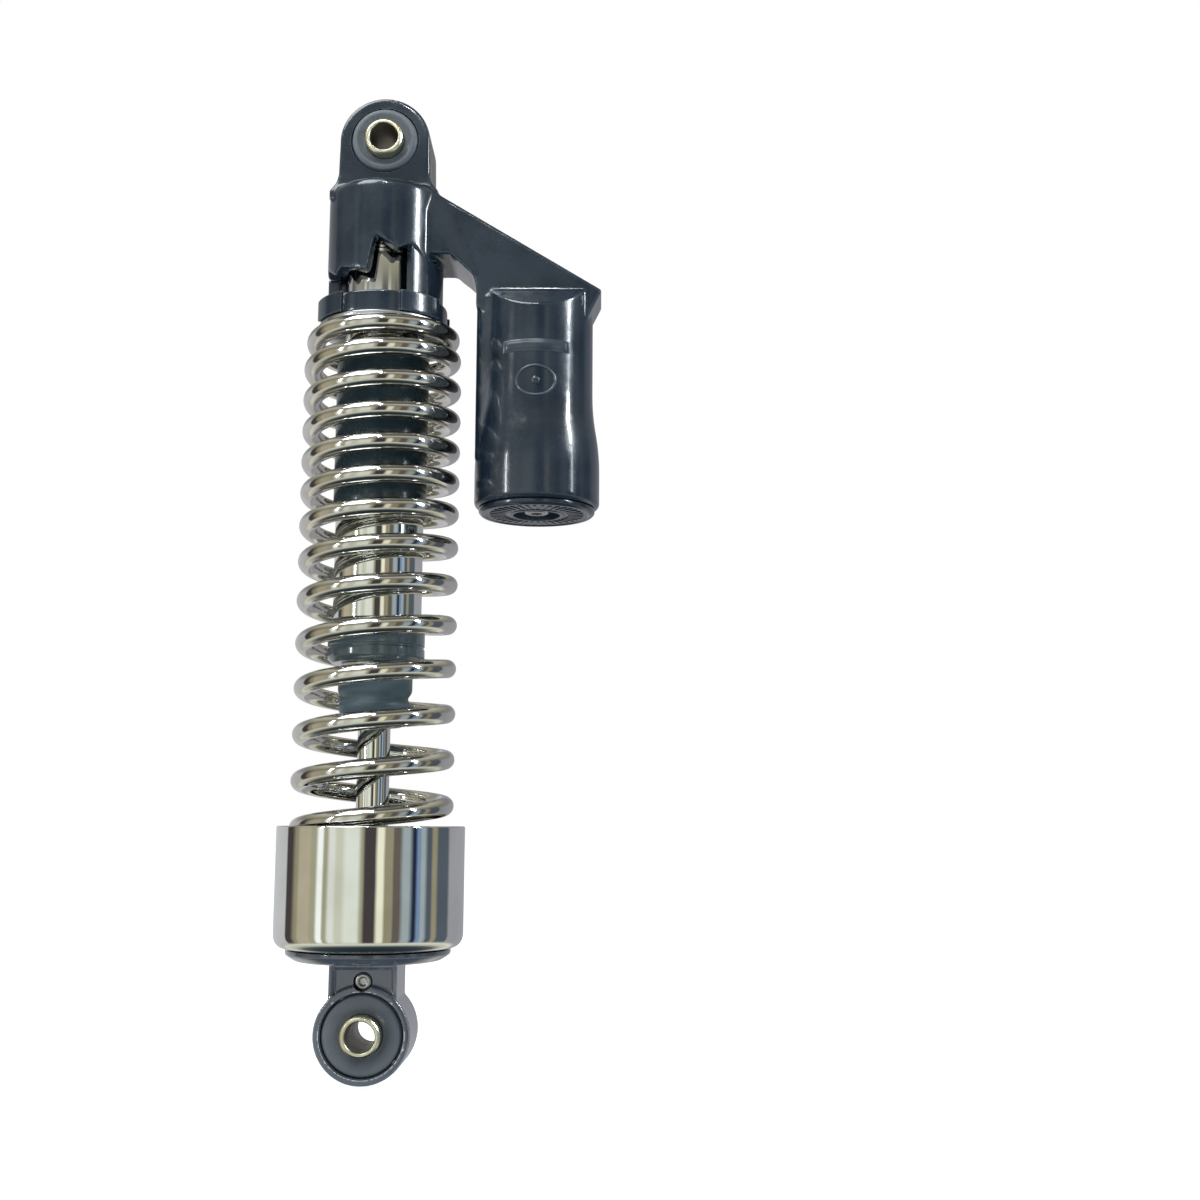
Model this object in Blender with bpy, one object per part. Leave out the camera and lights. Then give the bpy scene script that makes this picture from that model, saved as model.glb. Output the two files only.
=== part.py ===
"""Motorcycle rear shock absorber with a side reservoir, as separate pieces.

Metres, +Z up. The origin is the centre of the upper eye, the shock's axis runs down -Z, both eye
bolts lie along Y, and the reservoir stands on the +X side. Angles around the shock are measured
from -Y (the front) towards +X.
"""

import math

import bmesh
import bpy
from mathutils import Matrix, Vector

MM = 0.001
GAP = 0.3 * MM

# Driving dimensions
EYE_TO_EYE = 335 * MM
EYE_BORE_RADIUS = 5.35 * MM
SLEEVE_RADIUS = 7.25 * MM
SLEEVE_LENGTH = 32 * MM
ROD_RADIUS = 6 * MM
TUBE_RADIUS = 16.5 * MM
TUBE_BORE = 14.3 * MM
HEAD_RADIUS = 14.8 * MM
WIRE = 7 * MM
COIL_MEAN_RADIUS = 26.4 * MM
CUP_RADIUS = 34.25 * MM

# Top housing
LUG_HALF_WIDTH = 17.3 * MM
LUG_HALF_DEPTH = 12 * MM
LUG_BORE = 13.1 * MM
SKIRT_RADIUS = 22.25 * MM
SKIRT_BORE = 17.6 * MM
SKIRT_TOP = -18.5 * MM
SKIRT_SHOULDER = -21 * MM
SKIRT_ROOF = -31 * MM
CAM_START = math.radians(-4.5)
CAM_COLUMNS = 60
CAM_DEEPEST = -41.6 * MM
CAM_STEP = 2.8 * MM
CAM_TIP_DROP = 2.4 * MM
CAM_LIP = -55.4 * MM
NOTCH_ANGLE = math.radians(36)
ARM_HALF_DEPTH = 10.8 * MM
CANISTER_X = 59.5 * MM
CANISTER_RADIUS = 21 * MM
CANISTER_FOOT_RADIUS = 23.75 * MM
CANISTER_FLARE_TOP = -105.7 * MM
CANISTER_FLARE_END = -121.3 * MM
CANISTER_FOOT = -142.6 * MM
CANISTER_BORE = 18.5 * MM
CANISTER_BORE_TOP = -72 * MM
FLOATING_TOP = -92 * MM
CAP_TOP = -129 * MM
CAP_FACE = -145.2 * MM

# Preload adjuster
RING_TOP = -64.2 * MM
RING_BOTTOM = -72.2 * MM
RING_BORE = 15.2 * MM
RING_RADIUS = 24 * MM
TOOTH_RADIUS = 26 * MM
TOOTH_COUNT = 4
WASHER_BOTTOM = -74 * MM

# Damper, top to bottom
TUBE_TOP = -84.3 * MM
TUBE_BOTTOM = -190 * MM
GUIDE_SLEEVE_BOTTOM = -147 * MM
COLLAR_TOP = -185.9 * MM
COLLAR_BOTTOM = -202 * MM
BUMP_TOP = -204.4 * MM
BUMP_BOTTOM = -225.5 * MM
HEAD_STUD_TOP = -24 * MM
HEAD_SPIGOT_FOOT = -92 * MM
ROD_GUIDE_TOP = -178.5 * MM
SEAL_TOP = -190.6 * MM
SEAL_BOTTOM = -195 * MM
WIPER_TOP = -195.4 * MM
WIPER_BODY_FOOT = -199.1 * MM
WIPER_LIP = -201.6 * MM

# Rod and piston
ROD_TOP = -152 * MM
ROD_FOOT = -316.5 * MM
PISTON_TOP = -161 * MM

# Spring
SPRING_TOP = WASHER_BOTTOM - GAP
SPRING_BOTTOM = -301.4 * MM
COIL_STEPS = 16
COIL_SIDES = 6

# Lower end
CUP_RIM = -261.7 * MM
CUP_FLOOR = -305.4 * MM
CUP_WALL = 1.6 * MM
SEAT_TOP = CUP_FLOOR - GAP
SEAT_BOTTOM = -310 * MM
BOSS_TOP = -303.3 * MM
NUT_TOP = -296.4 * MM
LOWER_EYE_RADIUS = 17.25 * MM
LOWER_EYE_HALF_DEPTH = 12.5 * MM
LOWER_EYE_BORE = 14.65 * MM
NECK_HALF_WIDTH = 12.2 * MM
PIN_HEIGHT = -316.4 * MM

# Round resolution: how many sides a turned piece has
FINE = 36
MEDIUM = 24
COARSE = 16

# Colour, roughness and metallic value of each finish
FINISHES = {
    "gloss_black": ((0.012, 0.015, 0.02), 0.16, 0.0),
    "chrome": ((0.78, 0.77, 0.73), 0.06, 1.0),
    "black_sleeve": ((0.015, 0.02, 0.03), 0.3, 0.0),
    "navy_black": ((0.012, 0.016, 0.032), 0.28, 0.0),
    "rubber": ((0.03, 0.036, 0.045), 0.6, 0.0),
    "eye_paint": ((0.03, 0.036, 0.046), 0.36, 0.0),
    "zinc": ((0.68, 0.65, 0.52), 0.3, 1.0),
    "steel": ((0.56, 0.57, 0.58), 0.3, 1.0),
    "aluminium": ((0.7, 0.71, 0.72), 0.35, 1.0),
    "seal_rubber": ((0.02, 0.02, 0.022), 0.5, 0.0),
}


def clear_scene():
    """Empty the scene."""
    for item in list(bpy.data.objects):
        bpy.data.objects.remove(item, do_unlink=True)


def finish(name, owner):
    """A Principled material of its own for one node."""
    colour, roughness, metallic = FINISHES[name]
    material = bpy.data.materials.new(owner + "_" + name)
    material.use_nodes = True
    shader = material.node_tree.nodes["Principled BSDF"]
    shader.inputs["Base Color"].default_value = (*colour, 1.0)
    shader.inputs["Roughness"].default_value = roughness
    shader.inputs["Metallic"].default_value = metallic
    return material


def add_object(name, bm, place=(0, 0, 0)):
    """An object from a bmesh, with its faces turned outwards."""
    bmesh.ops.recalc_face_normals(bm, faces=bm.faces)
    mesh = bpy.data.meshes.new(name)
    bm.to_mesh(mesh)
    bm.free()
    item = bpy.data.objects.new(name, mesh)
    item.location = place
    bpy.context.scene.collection.objects.link(item)
    return item


def node(name, bm, look, parent=None, place=(0, 0, 0)):
    """One finished sub-part, smooth where it is round."""
    item = add_object(name, bm, place)
    item.data.materials.append(finish(look, name))
    item.data.shade_smooth()
    item.data.set_sharp_from_angle(angle=math.radians(35))
    if parent:
        hold(item, parent)
    return item


def hold(item, parent):
    """Parent an object without moving it."""
    item.parent = parent
    item.matrix_parent_inverse = Matrix.Translation(parent.location).inverted()


def empty(name, place=(0, 0, 0), parent=None):
    """An empty that stands for one moving body."""
    item = bpy.data.objects.new(name, None)
    item.location = place
    bpy.context.scene.collection.objects.link(item)
    if parent:
        hold(item, parent)
    return item


def combine(item, other, operation):
    """Join or cut an object with a hidden one."""
    other.hide_render = True
    other.display_type = "WIRE"
    modifier = item.modifiers.new(other.name, "BOOLEAN")
    modifier.object = other
    modifier.operation = operation
    modifier.solver = "EXACT"


def turned(outline, sides):
    """A body of revolution about Z from (radius, height) points.

    The outline is closed, unless it starts and ends on the axis.
    """
    bm = bmesh.new()
    points = [bm.verts.new((radius, 0, height)) for radius, height in outline]
    edges = [bm.edges.new(pair) for pair in zip(points, points[1:])]
    on_axis = outline[0][0] == 0 and outline[-1][0] == 0
    if not on_axis:
        edges.append(bm.edges.new((points[-1], points[0])))
    bmesh.ops.spin(
        bm, geom=points + edges, axis=(0, 0, 1), cent=(0, 0, 0), angle=math.tau, steps=sides
    )
    bmesh.ops.remove_doubles(bm, verts=bm.verts, dist=0.005 * MM)
    return bm


def ring(inner, outer, bottom, top):
    """The outline of a plain ring."""
    return [(outer, top), (outer, bottom), (inner, bottom), (inner, top)]


def plug(radius, bottom, top):
    """The outline of a plain round bar."""
    return [(0, top), (radius, top), (radius, bottom), (0, bottom)]


def along_y(bm):
    """Lay a body turned about Z along Y, its top to the back."""
    bmesh.ops.rotate(bm, verts=bm.verts, matrix=Matrix.Rotation(-math.pi / 2, 3, "X"))
    return bm


def prism(outline, low, high, axis="Y"):
    """An extrusion of an (x, z) outline along Y, or of an (x, y) outline along Z."""
    bm = bmesh.new()
    if axis == "Y":
        points = [bm.verts.new((x, low, z)) for x, z in outline]
        step = (0, high - low, 0)
    else:
        points = [bm.verts.new((x, y, low)) for x, y in outline]
        step = (0, 0, high - low)
    face = bm.faces.new(points)
    swept = bmesh.ops.extrude_face_region(bm, geom=[face])["geom"]
    moved = [item for item in swept if isinstance(item, bmesh.types.BMVert)]
    bmesh.ops.translate(bm, verts=moved, vec=step)
    return bm


def lofted(loops, closed=False):
    """A skin over loops of equally many points, capped or closed on itself."""
    bm = bmesh.new()
    rows = [[bm.verts.new(point) for point in loop] for loop in loops]
    pairs = list(zip(rows, rows[1:]))
    if closed:
        pairs.append((rows[-1], rows[0]))
    for one, two in pairs:
        count = len(one)
        for i in range(count):
            j = (i + 1) % count
            bm.faces.new((one[i], one[j], two[j], two[i]))
    if not closed:
        bm.faces.new(rows[0])
        bm.faces.new(rows[-1])
    return bm


def hex_nut(bore, across_flats, bottom, top):
    """A hexagon nut with a plain round bore."""
    angles = [math.tau * i / MEDIUM for i in range(MEDIUM)]
    sixth = math.tau / 6
    flats = [across_flats / 2 / math.cos(angle % sixth - sixth / 2) for angle in angles]
    loops = []
    inside = [bore] * MEDIUM
    for radii, height in ((flats, top), (flats, bottom), (inside, bottom), (inside, top)):
        loops.append([around(radius, angle, height) for radius, angle in zip(radii, angles)])
    return lofted(loops, closed=True)


def around(radius, angle, height):
    """A point at an angle from the front, counted towards +X."""
    return Vector((radius * math.sin(angle), -radius * math.cos(angle), height))


def arc(centre, radii, start, end, steps):
    """Points of an elliptical arc in a plane, angles in degrees."""
    points = []
    for i in range(steps + 1):
        angle = math.radians(start + (end - start) * i / steps)
        x = centre[0] + radii[0] * math.cos(angle)
        z = centre[1] + radii[1] * math.sin(angle)
        points.append((x, z))
    return points


def cam_height(column):
    """Height of the skirt's lower edge at one column of the preload cam.

    Each half turn is a stair of five notches, every one a peak, a slope down and a steep rise.
    """
    per_notch = CAM_COLUMNS // 10
    slope = per_notch - 2
    notch, place = divmod(column % (CAM_COLUMNS // 2), per_notch)
    peak = CAM_DEEPEST - notch * CAM_STEP
    last = notch == 4
    tip = CAM_LIP if last else peak - CAM_STEP - CAM_TIP_DROP
    if place <= slope:
        return peak + (tip - peak) * place / slope
    return CAM_LIP if last else (tip + peak - CAM_STEP) / 2


def skirt():
    """The skirt as cast, open below, with its stepped edge; its bore is cut afterwards."""
    cast_bore = SKIRT_BORE - 1.5 * MM
    angles = [CAM_START + math.tau * i / CAM_COLUMNS for i in range(CAM_COLUMNS)]
    edge = [cam_height(i) for i in range(CAM_COLUMNS)]
    return lofted(
        [
            [around(SKIRT_RADIUS - 2.8 * MM, angle, SKIRT_TOP) for angle in angles],
            [around(SKIRT_RADIUS, angle, SKIRT_SHOULDER) for angle in angles],
            [around(SKIRT_RADIUS, angle, height) for angle, height in zip(angles, edge)],
            [around(cast_bore, angle, height) for angle, height in zip(angles, edge)],
            [around(cast_bore, angle, SKIRT_ROOF - 1 * MM) for angle in angles],
        ]
    )


def lug():
    """The flat upper lug with its round top."""
    foot = SKIRT_SHOULDER - 3 * MM
    top = arc((0, 0), (LUG_HALF_WIDTH, LUG_HALF_WIDTH), 0, 180, 16)
    outline = [(LUG_HALF_WIDTH + 0.5 * MM, foot), *top, (-LUG_HALF_WIDTH - 0.5 * MM, foot)]
    return prism(outline, -LUG_HALF_DEPTH, LUG_HALF_DEPTH)


def arm():
    """The arm from the skirt to the reservoir, with the arch under it and its thicker root."""
    tip = (84 * MM, -59.3 * MM)
    arch = arc((22 * MM, -60 * MM), (14 * MM, 14.7 * MM), 90, 0, 6)
    outline = [
        (10 * MM, -19.6 * MM),
        (18.6 * MM, -19.6 * MM),
        tip,
        (79.5 * MM, -68 * MM),
        (42 * MM, -68 * MM),
        (36 * MM, -66 * MM),
        *reversed(arch),
        (12 * MM, -45.3 * MM),
    ]
    plate = add_object("arm_plate", prism(outline, -ARM_HALF_DEPTH, ARM_HALF_DEPTH))
    crease_top = (23 * MM, -22.3 * MM)
    root_depth = 14 * MM
    root = lofted(
        [
            [(15 * MM, y, -21.5 * MM) for y in (-root_depth, root_depth)]
            + [(15 * MM, y, -45.3 * MM) for y in (root_depth, -root_depth)],
            [(crease_top[0], y, crease_top[1]) for y in (-ARM_HALF_DEPTH, ARM_HALF_DEPTH)]
            + [(26 * MM, y, -46.5 * MM) for y in (root_depth - 1 * MM, 1 * MM - root_depth)],
            [(31 * MM, y, -40 * MM) for y in (-ARM_HALF_DEPTH, ARM_HALF_DEPTH)]
            + [(32 * MM, y, -50.2 * MM) for y in (ARM_HALF_DEPTH + MM, -ARM_HALF_DEPTH - MM)],
        ]
    )
    combine(plate, add_object("arm_root", root), "UNION")
    return plate


def canister():
    """The reservoir's outer body, its gabled top and its flat rib on the spring side."""
    foot = CANISTER_FOOT_RADIUS
    top = -59.3 * MM
    outline = [
        (0, top),
        (CANISTER_RADIUS, top),
        (CANISTER_RADIUS, CANISTER_FLARE_TOP),
        (CANISTER_RADIUS + 1.1 * MM, CANISTER_FLARE_TOP - 6 * MM),
        (foot - 0.5 * MM, CANISTER_FLARE_END + 4 * MM),
        (foot, CANISTER_FLARE_END),
        (foot, CANISTER_FOOT + 1.2 * MM),
        (foot - 1.2 * MM, CANISTER_FOOT),
        (0, CANISTER_FOOT),
    ]
    body = turned(outline, FINE)
    bmesh.ops.translate(body, verts=body.verts, vec=(CANISTER_X, 0, 0))
    for side in (-1, 1):
        cut = bmesh.ops.bisect_plane(
            body,
            geom=body.verts[:] + body.edges[:] + body.faces[:],
            plane_co=(0, side * (ARM_HALF_DEPTH - 0.2 * MM), top),
            plane_no=(0, side * 0.652, 0.758),
            clear_outer=True,
        )["geom_cut"]
        rim = [item for item in cut if isinstance(item, bmesh.types.BMEdge)]
        bmesh.ops.holes_fill(body, edges=rim, sides=0)
    item = add_object("canister_body", body)
    spring_side = CANISTER_X - CANISTER_FOOT_RADIUS + 0.4 * MM
    rib_outline = [
        (spring_side, -9 * MM),
        (spring_side, 9 * MM),
        (spring_side + 10 * MM, 12 * MM),
        (spring_side + 10 * MM, -12 * MM),
    ]
    rib = prism(rib_outline, CANISTER_FLARE_END - 3 * MM, -62 * MM, axis="Z")
    combine(item, add_object("canister_rib", rib), "UNION")
    return item


def oil_passage():
    """The drilled way from the damper's head to the top of the reservoir."""
    start = Vector((6 * MM, 0, -26 * MM))
    end = Vector((CANISTER_X - 3 * MM, 0, -57 * MM))
    length = (end - start).length
    bm = turned([(0, length), (2.5 * MM, length), (2.5 * MM, 0), (0, 0)], 12)
    turn = (end - start).to_track_quat("Z", "Y").to_matrix()
    bmesh.ops.rotate(bm, verts=bm.verts, matrix=turn)
    bmesh.ops.translate(bm, verts=bm.verts, vec=start)
    return bm


def canister_bore():
    """The reservoir's inside: the wide bore and the narrow way up to the oil passage."""
    outline = [
        (0, -54 * MM),
        (5 * MM, -54 * MM),
        (5 * MM, CANISTER_BORE_TOP + 5 * MM),
        (CANISTER_BORE - 4 * MM, CANISTER_BORE_TOP),
        (CANISTER_BORE, CANISTER_BORE_TOP - 4 * MM),
        (CANISTER_BORE, CANISTER_FOOT - 5 * MM),
        (0, CANISTER_FOOT - 5 * MM),
    ]
    bm = turned(outline, MEDIUM)
    bmesh.ops.translate(bm, verts=bm.verts, vec=(CANISTER_X, 0, 0))
    return bm


def build_top_housing():
    """The upper casting: lug, skirt, arm and reservoir body in one piece."""
    housing = node("top_housing", skirt(), "gloss_black")
    combine(housing, add_object("housing_lug", lug()), "UNION")
    combine(housing, arm(), "UNION")
    combine(housing, canister(), "UNION")
    bore = plug(SKIRT_BORE, CAM_LIP - 5 * MM, SKIRT_ROOF)
    combine(housing, add_object("housing_bore", turned(bore, CAM_COLUMNS)), "DIFFERENCE")
    socket = plug(10 * MM + GAP, SKIRT_ROOF - 4 * MM, HEAD_STUD_TOP + 0.4 * MM)
    combine(housing, add_object("housing_socket", turned(socket, MEDIUM)), "DIFFERENCE")
    combine(housing, add_object("housing_passage", oil_passage()), "DIFFERENCE")
    reach = LUG_HALF_DEPTH + 4 * MM
    eye = along_y(turned(plug(LUG_BORE, -reach, reach), FINE))
    combine(housing, add_object("housing_eye", eye), "DIFFERENCE")
    combine(housing, add_object("housing_reservoir", canister_bore()), "DIFFERENCE")


def build_eye(prefix, place, bore, body, sleeve_body):
    """A rubber bush in an eye and the steel sleeve through it."""
    rubber = bore - GAP
    crown = LUG_HALF_DEPTH + 1.2 * MM
    inner = SLEEVE_RADIUS + GAP
    bush = [
        (rubber, LUG_HALF_DEPTH - 0.8 * MM),
        (rubber, 0.8 * MM - LUG_HALF_DEPTH),
        (rubber - 1.6 * MM, -crown),
        (inner, 0.6 * MM - crown),
        (inner, crown - 0.6 * MM),
        (rubber - 1.6 * MM, crown),
    ]
    node(prefix + "_bush", along_y(turned(bush, FINE)), "rubber", body, place)
    half = SLEEVE_LENGTH / 2
    bevel = 0.5 * MM
    sleeve = [
        (SLEEVE_RADIUS - bevel, half),
        (SLEEVE_RADIUS, half - bevel),
        (SLEEVE_RADIUS, bevel - half),
        (SLEEVE_RADIUS - bevel, -half),
        (EYE_BORE_RADIUS, -half),
        (EYE_BORE_RADIUS, half),
    ]
    node(prefix + "_sleeve", along_y(turned(sleeve, MEDIUM)), "zinc", sleeve_body, place)


def build_adjuster(seat_body, ring_body):
    """The preload ring with its teeth and two lugs, and the washer under it."""
    columns = 48
    outer = []
    inner = []
    tooth = math.radians(38)
    for i in range(columns):
        angle = CAM_START + math.tau * i / columns
        from_recess = (i * math.tau / columns) % (math.tau / TOOTH_COUNT)
        near_recess = min(from_recess, math.tau / TOOTH_COUNT - from_recess)
        toothed = near_recess > (math.tau / TOOTH_COUNT - tooth) / 2
        outer.append((TOOTH_RADIUS if toothed else RING_RADIUS, angle))
        inner.append((RING_BORE, angle))
    loops = []
    edges = ((outer, RING_TOP), (outer, RING_BOTTOM), (inner, RING_BOTTOM), (inner, RING_TOP))
    for loop, height in edges:
        loops.append([around(radius, angle, height) for radius, angle in loop])
    ring_item = node("adjuster_ring", lofted(loops, closed=True), "gloss_black", ring_body)
    lug_inner = SKIRT_BORE + GAP
    lug_outer = SKIRT_RADIUS + 0.3 * MM
    lug_start = math.radians(38)
    lug_end = math.radians(92)
    tip_angle = NOTCH_ANGLE * 4 / 6
    lug_line = CAM_DEEPEST - CAM_STEP - CAM_TIP_DROP + CAM_STEP * tip_angle / NOTCH_ANGLE - 0.4 * MM
    steps = 8
    for half_turn in (0, 1):
        sections = []
        for i in range(steps + 1):
            turn = lug_start + (lug_end - lug_start) * i / steps
            angle = CAM_START + turn + half_turn * math.pi
            top = lug_line - CAM_STEP * turn / NOTCH_ANGLE
            bottom = RING_TOP - 2 * MM
            sections.append(
                [
                    around(lug_inner, angle, bottom),
                    around(lug_outer, angle, bottom),
                    around(lug_outer, angle, top),
                    around(lug_inner, angle, top),
                ]
            )
        lug_item = add_object("adjuster_lug_%d" % half_turn, lofted(sections))
        hold(lug_item, ring_body)
        combine(ring_item, lug_item, "UNION")
    washer = ring(RING_BORE, 25 * MM, WASHER_BOTTOM, RING_BOTTOM - GAP)
    node("spring_seat_washer", turned(washer, FINE), "steel", seat_body)


def build_damper():
    """Tube, head, sleeve, collar, and what seals the rod in them."""
    head = [
        (HEAD_RADIUS, SKIRT_ROOF - GAP),
        (HEAD_RADIUS, TUBE_TOP + GAP),
        (TUBE_BORE - GAP, TUBE_TOP + GAP),
        (TUBE_BORE - GAP, HEAD_SPIGOT_FOOT),
        (10 * MM, HEAD_SPIGOT_FOOT),
        (10 * MM, -40 * MM),
        (3 * MM, -36 * MM),
        (3 * MM, HEAD_STUD_TOP),
        (10 * MM, HEAD_STUD_TOP),
        (10 * MM, SKIRT_ROOF - GAP),
    ]
    node("tube_head", turned(head, MEDIUM), "chrome")
    tube = ring(TUBE_BORE, TUBE_RADIUS, TUBE_BOTTOM, TUBE_TOP)
    node("damper_tube", turned(tube, MEDIUM), "chrome")
    sleeve = ring(TUBE_RADIUS + GAP, TUBE_RADIUS + 1 * MM, GUIDE_SLEEVE_BOTTOM, TUBE_TOP - 0.5 * MM)
    node("guide_sleeve", turned(sleeve, MEDIUM), "black_sleeve")
    collar_step = TUBE_BOTTOM - GAP
    seal_bore = 13.2 * MM
    lip = 8.5 * MM
    collar = [
        (18 * MM, COLLAR_TOP - 0.6 * MM),
        (18 * MM, COLLAR_BOTTOM + 2 * MM),
        (16.5 * MM, COLLAR_BOTTOM),
        (lip, COLLAR_BOTTOM),
        (lip, COLLAR_BOTTOM + 2.5 * MM),
        (seal_bore, COLLAR_BOTTOM + 2.5 * MM),
        (seal_bore, collar_step),
        (TUBE_RADIUS + GAP, collar_step),
        (TUBE_RADIUS + GAP, COLLAR_TOP),
        (17.4 * MM, COLLAR_TOP),
    ]
    node("gland_collar", turned(collar, MEDIUM), "navy_black")
    running = ROD_RADIUS + GAP
    guide = ring(running, TUBE_BORE - GAP, TUBE_BOTTOM + 0.1 * MM, ROD_GUIDE_TOP)
    node("rod_guide", turned(guide, COARSE), "aluminium")
    seal_radius = seal_bore - 0.4 * MM
    node("oil_seal", turned(ring(running, seal_radius, SEAL_BOTTOM, SEAL_TOP), COARSE), "seal_rubber")
    wiper = [
        (seal_radius, WIPER_TOP),
        (seal_radius, WIPER_BODY_FOOT),
        (8 * MM, WIPER_BODY_FOOT),
        (7.6 * MM, WIPER_LIP),
        (running, WIPER_LIP),
        (running, WIPER_TOP),
    ]
    node("rod_wiper", turned(wiper, COARSE), "seal_rubber")
    washer = ring(running, 13 * MM, BUMP_TOP + GAP, COLLAR_BOTTOM - GAP)
    node("bump_washer", turned(washer, COARSE), "steel")
    middle = (BUMP_TOP + BUMP_BOTTOM) / 2
    bump = [
        (12.8 * MM, BUMP_TOP),
        (13.75 * MM, BUMP_TOP - 1.2 * MM),
        (13.75 * MM, middle + 2 * MM),
        (12.2 * MM, middle + 0.8 * MM),
        (12.2 * MM, middle - 0.8 * MM),
        (13.5 * MM, middle - 2 * MM),
        (13.2 * MM, BUMP_BOTTOM + 5 * MM),
        (10.5 * MM, BUMP_BOTTOM),
        (running, BUMP_BOTTOM),
        (running, BUMP_TOP),
    ]
    node("bump_stop", turned(bump, MEDIUM), "navy_black")


def build_rod(stroke_body):
    """The rod with its piston stack."""
    spigot = 4 * MM
    shoulder = PISTON_TOP - 12.3 * MM
    rod = [
        (0, ROD_TOP),
        (spigot, ROD_TOP),
        (spigot, shoulder),
        (ROD_RADIUS, shoulder),
        (ROD_RADIUS, ROD_FOOT + 1.5 * MM),
        (ROD_RADIUS - MM, ROD_FOOT),
        (0, ROD_FOOT),
    ]
    node("piston_rod", turned(rod, COARSE), "chrome", stroke_body)
    bore = spigot + GAP
    groove = 12.6 * MM
    radius = TUBE_BORE - GAP
    piston = [
        (radius, PISTON_TOP),
        (radius, PISTON_TOP - 2.5 * MM),
        (groove, PISTON_TOP - 2.5 * MM),
        (groove, PISTON_TOP - 7.5 * MM),
        (radius, PISTON_TOP - 7.5 * MM),
        (radius, PISTON_TOP - 10 * MM),
        (bore, PISTON_TOP - 10 * MM),
        (bore, PISTON_TOP),
    ]
    node("piston", turned(piston, MEDIUM), "aluminium", stroke_body)
    band = ring(groove + GAP, radius, PISTON_TOP - 7.2 * MM, PISTON_TOP - 2.8 * MM)
    node("piston_band", turned(band, MEDIUM), "seal_rubber", stroke_body)
    shim = ring(bore, 11 * MM, PISTON_TOP + GAP, PISTON_TOP + 1.3 * MM)
    node("compression_shims", turned(shim, COARSE), "steel", stroke_body)
    shim = ring(bore, 11 * MM, shoulder + GAP, PISTON_TOP - 10.3 * MM)
    node("rebound_shims", turned(shim, COARSE), "steel", stroke_body)
    nut = hex_nut(bore, 13 * MM, PISTON_TOP + 1.6 * MM, ROD_TOP - 1 * MM)
    node("piston_nut", nut, "steel", stroke_body)
    bumper = ring(ROD_RADIUS + GAP, 10 * MM, shoulder - 4 * MM, shoulder - 0.5 * MM)
    node("topout_bumper", turned(bumper, COARSE), "seal_rubber", stroke_body)


def coil_pitch(turn):
    """Rise of the wire per turn: closed at both ends, fine above and coarse below."""
    closed = WIRE + 0.35 * MM
    fine = 12 * MM
    coarse = 17 * MM

    def eased(low, high):
        share = min(max((turn - low) / (high - low), 0), 1)
        return share * share * (3 - 2 * share)

    pitch = closed + (fine - closed) * eased(0, 1)
    pitch += (coarse - fine) * eased(4.5, 10.5)
    return pitch + (closed - coarse) * eased(14.4, 15)


def build_spring():
    """The chromed coil spring, wound right-handed, its end coils closed and ground flat."""
    start = -0.55
    end = 15.95
    wire = WIRE / 2
    front = -77.6 * MM
    step = 1 / COIL_STEPS
    count = round((end - start) / step)
    turn = start
    height = front + coil_pitch(0) * -start
    loops = []
    for i in range(count + 1):
        angle = -math.tau * turn
        closing = min(max(1 - turn, 0), 1)
        radius = COIL_MEAN_RADIUS - 0.9 * MM * closing
        centre = around(radius, angle, height)
        outwards = around(1, angle, 0)
        loop = []
        for side in range(COIL_SIDES):
            roll = math.tau * (side + 0.5) / COIL_SIDES
            rise = Vector((0, 0, wire * math.sin(roll)))
            loop.append(centre + outwards * wire * math.cos(roll) + rise)
        loops.append(loop)
        height -= coil_pitch(turn + step / 2) * step
        turn += step
    bm = lofted(loops)
    bmesh.ops.recalc_face_normals(bm, faces=bm.faces)
    for level, facing in ((SPRING_TOP, 1), (SPRING_BOTTOM, -1)):
        cut = bmesh.ops.bisect_plane(
            bm,
            geom=bm.verts[:] + bm.edges[:] + bm.faces[:],
            plane_co=(0, 0, level),
            plane_no=(0, 0, facing),
            clear_outer=True,
        )["geom_cut"]
        rim = [item for item in cut if isinstance(item, bmesh.types.BMEdge)]
        bmesh.ops.holes_fill(bm, edges=rim, sides=0)
    node("coil_spring", bm, "chrome")


def build_cup(stroke_body):
    """The chromed cup, the pad in it, the seat under it and the nut that holds them."""
    corner = 5 * MM
    outer = arc((CUP_RADIUS - corner, CUP_FLOOR + corner), (corner, corner), 0, -90, 4)
    inner_corner = corner - CUP_WALL
    inner_edge = CUP_RADIUS - CUP_WALL
    floor = CUP_FLOOR + CUP_WALL
    inner_centre = (inner_edge - inner_corner, floor + inner_corner)
    inner = arc(inner_centre, (inner_corner, inner_corner), -90, 0, 2)
    hole = 11.4 * MM
    outline = [
        (CUP_RADIUS, CUP_RIM),
        *outer,
        (hole, CUP_FLOOR),
        (hole, floor),
        *inner,
        (inner_edge, CUP_RIM),
    ]
    node("spring_cup", turned(outline, FINE), "chrome", stroke_body)
    pad = ring(21 * MM, 28.8 * MM, floor + GAP, SPRING_BOTTOM - GAP)
    node("spring_pad", turned(pad, MEDIUM), "rubber", stroke_body)
    seat = [
        (29.8 * MM, SEAT_TOP),
        (29.8 * MM, SEAT_TOP - 1.6 * MM),
        (27 * MM, SEAT_BOTTOM + 0.6 * MM),
        (24 * MM, SEAT_BOTTOM),
        (hole, SEAT_BOTTOM),
        (hole, SEAT_TOP),
    ]
    node("lower_seat", turned(seat, FINE), "eye_paint", stroke_body)
    nut = hex_nut(ROD_RADIUS + GAP, 19 * MM, BOSS_TOP + GAP, NUT_TOP)
    node("lock_nut", nut, "steel", stroke_body)


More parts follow.
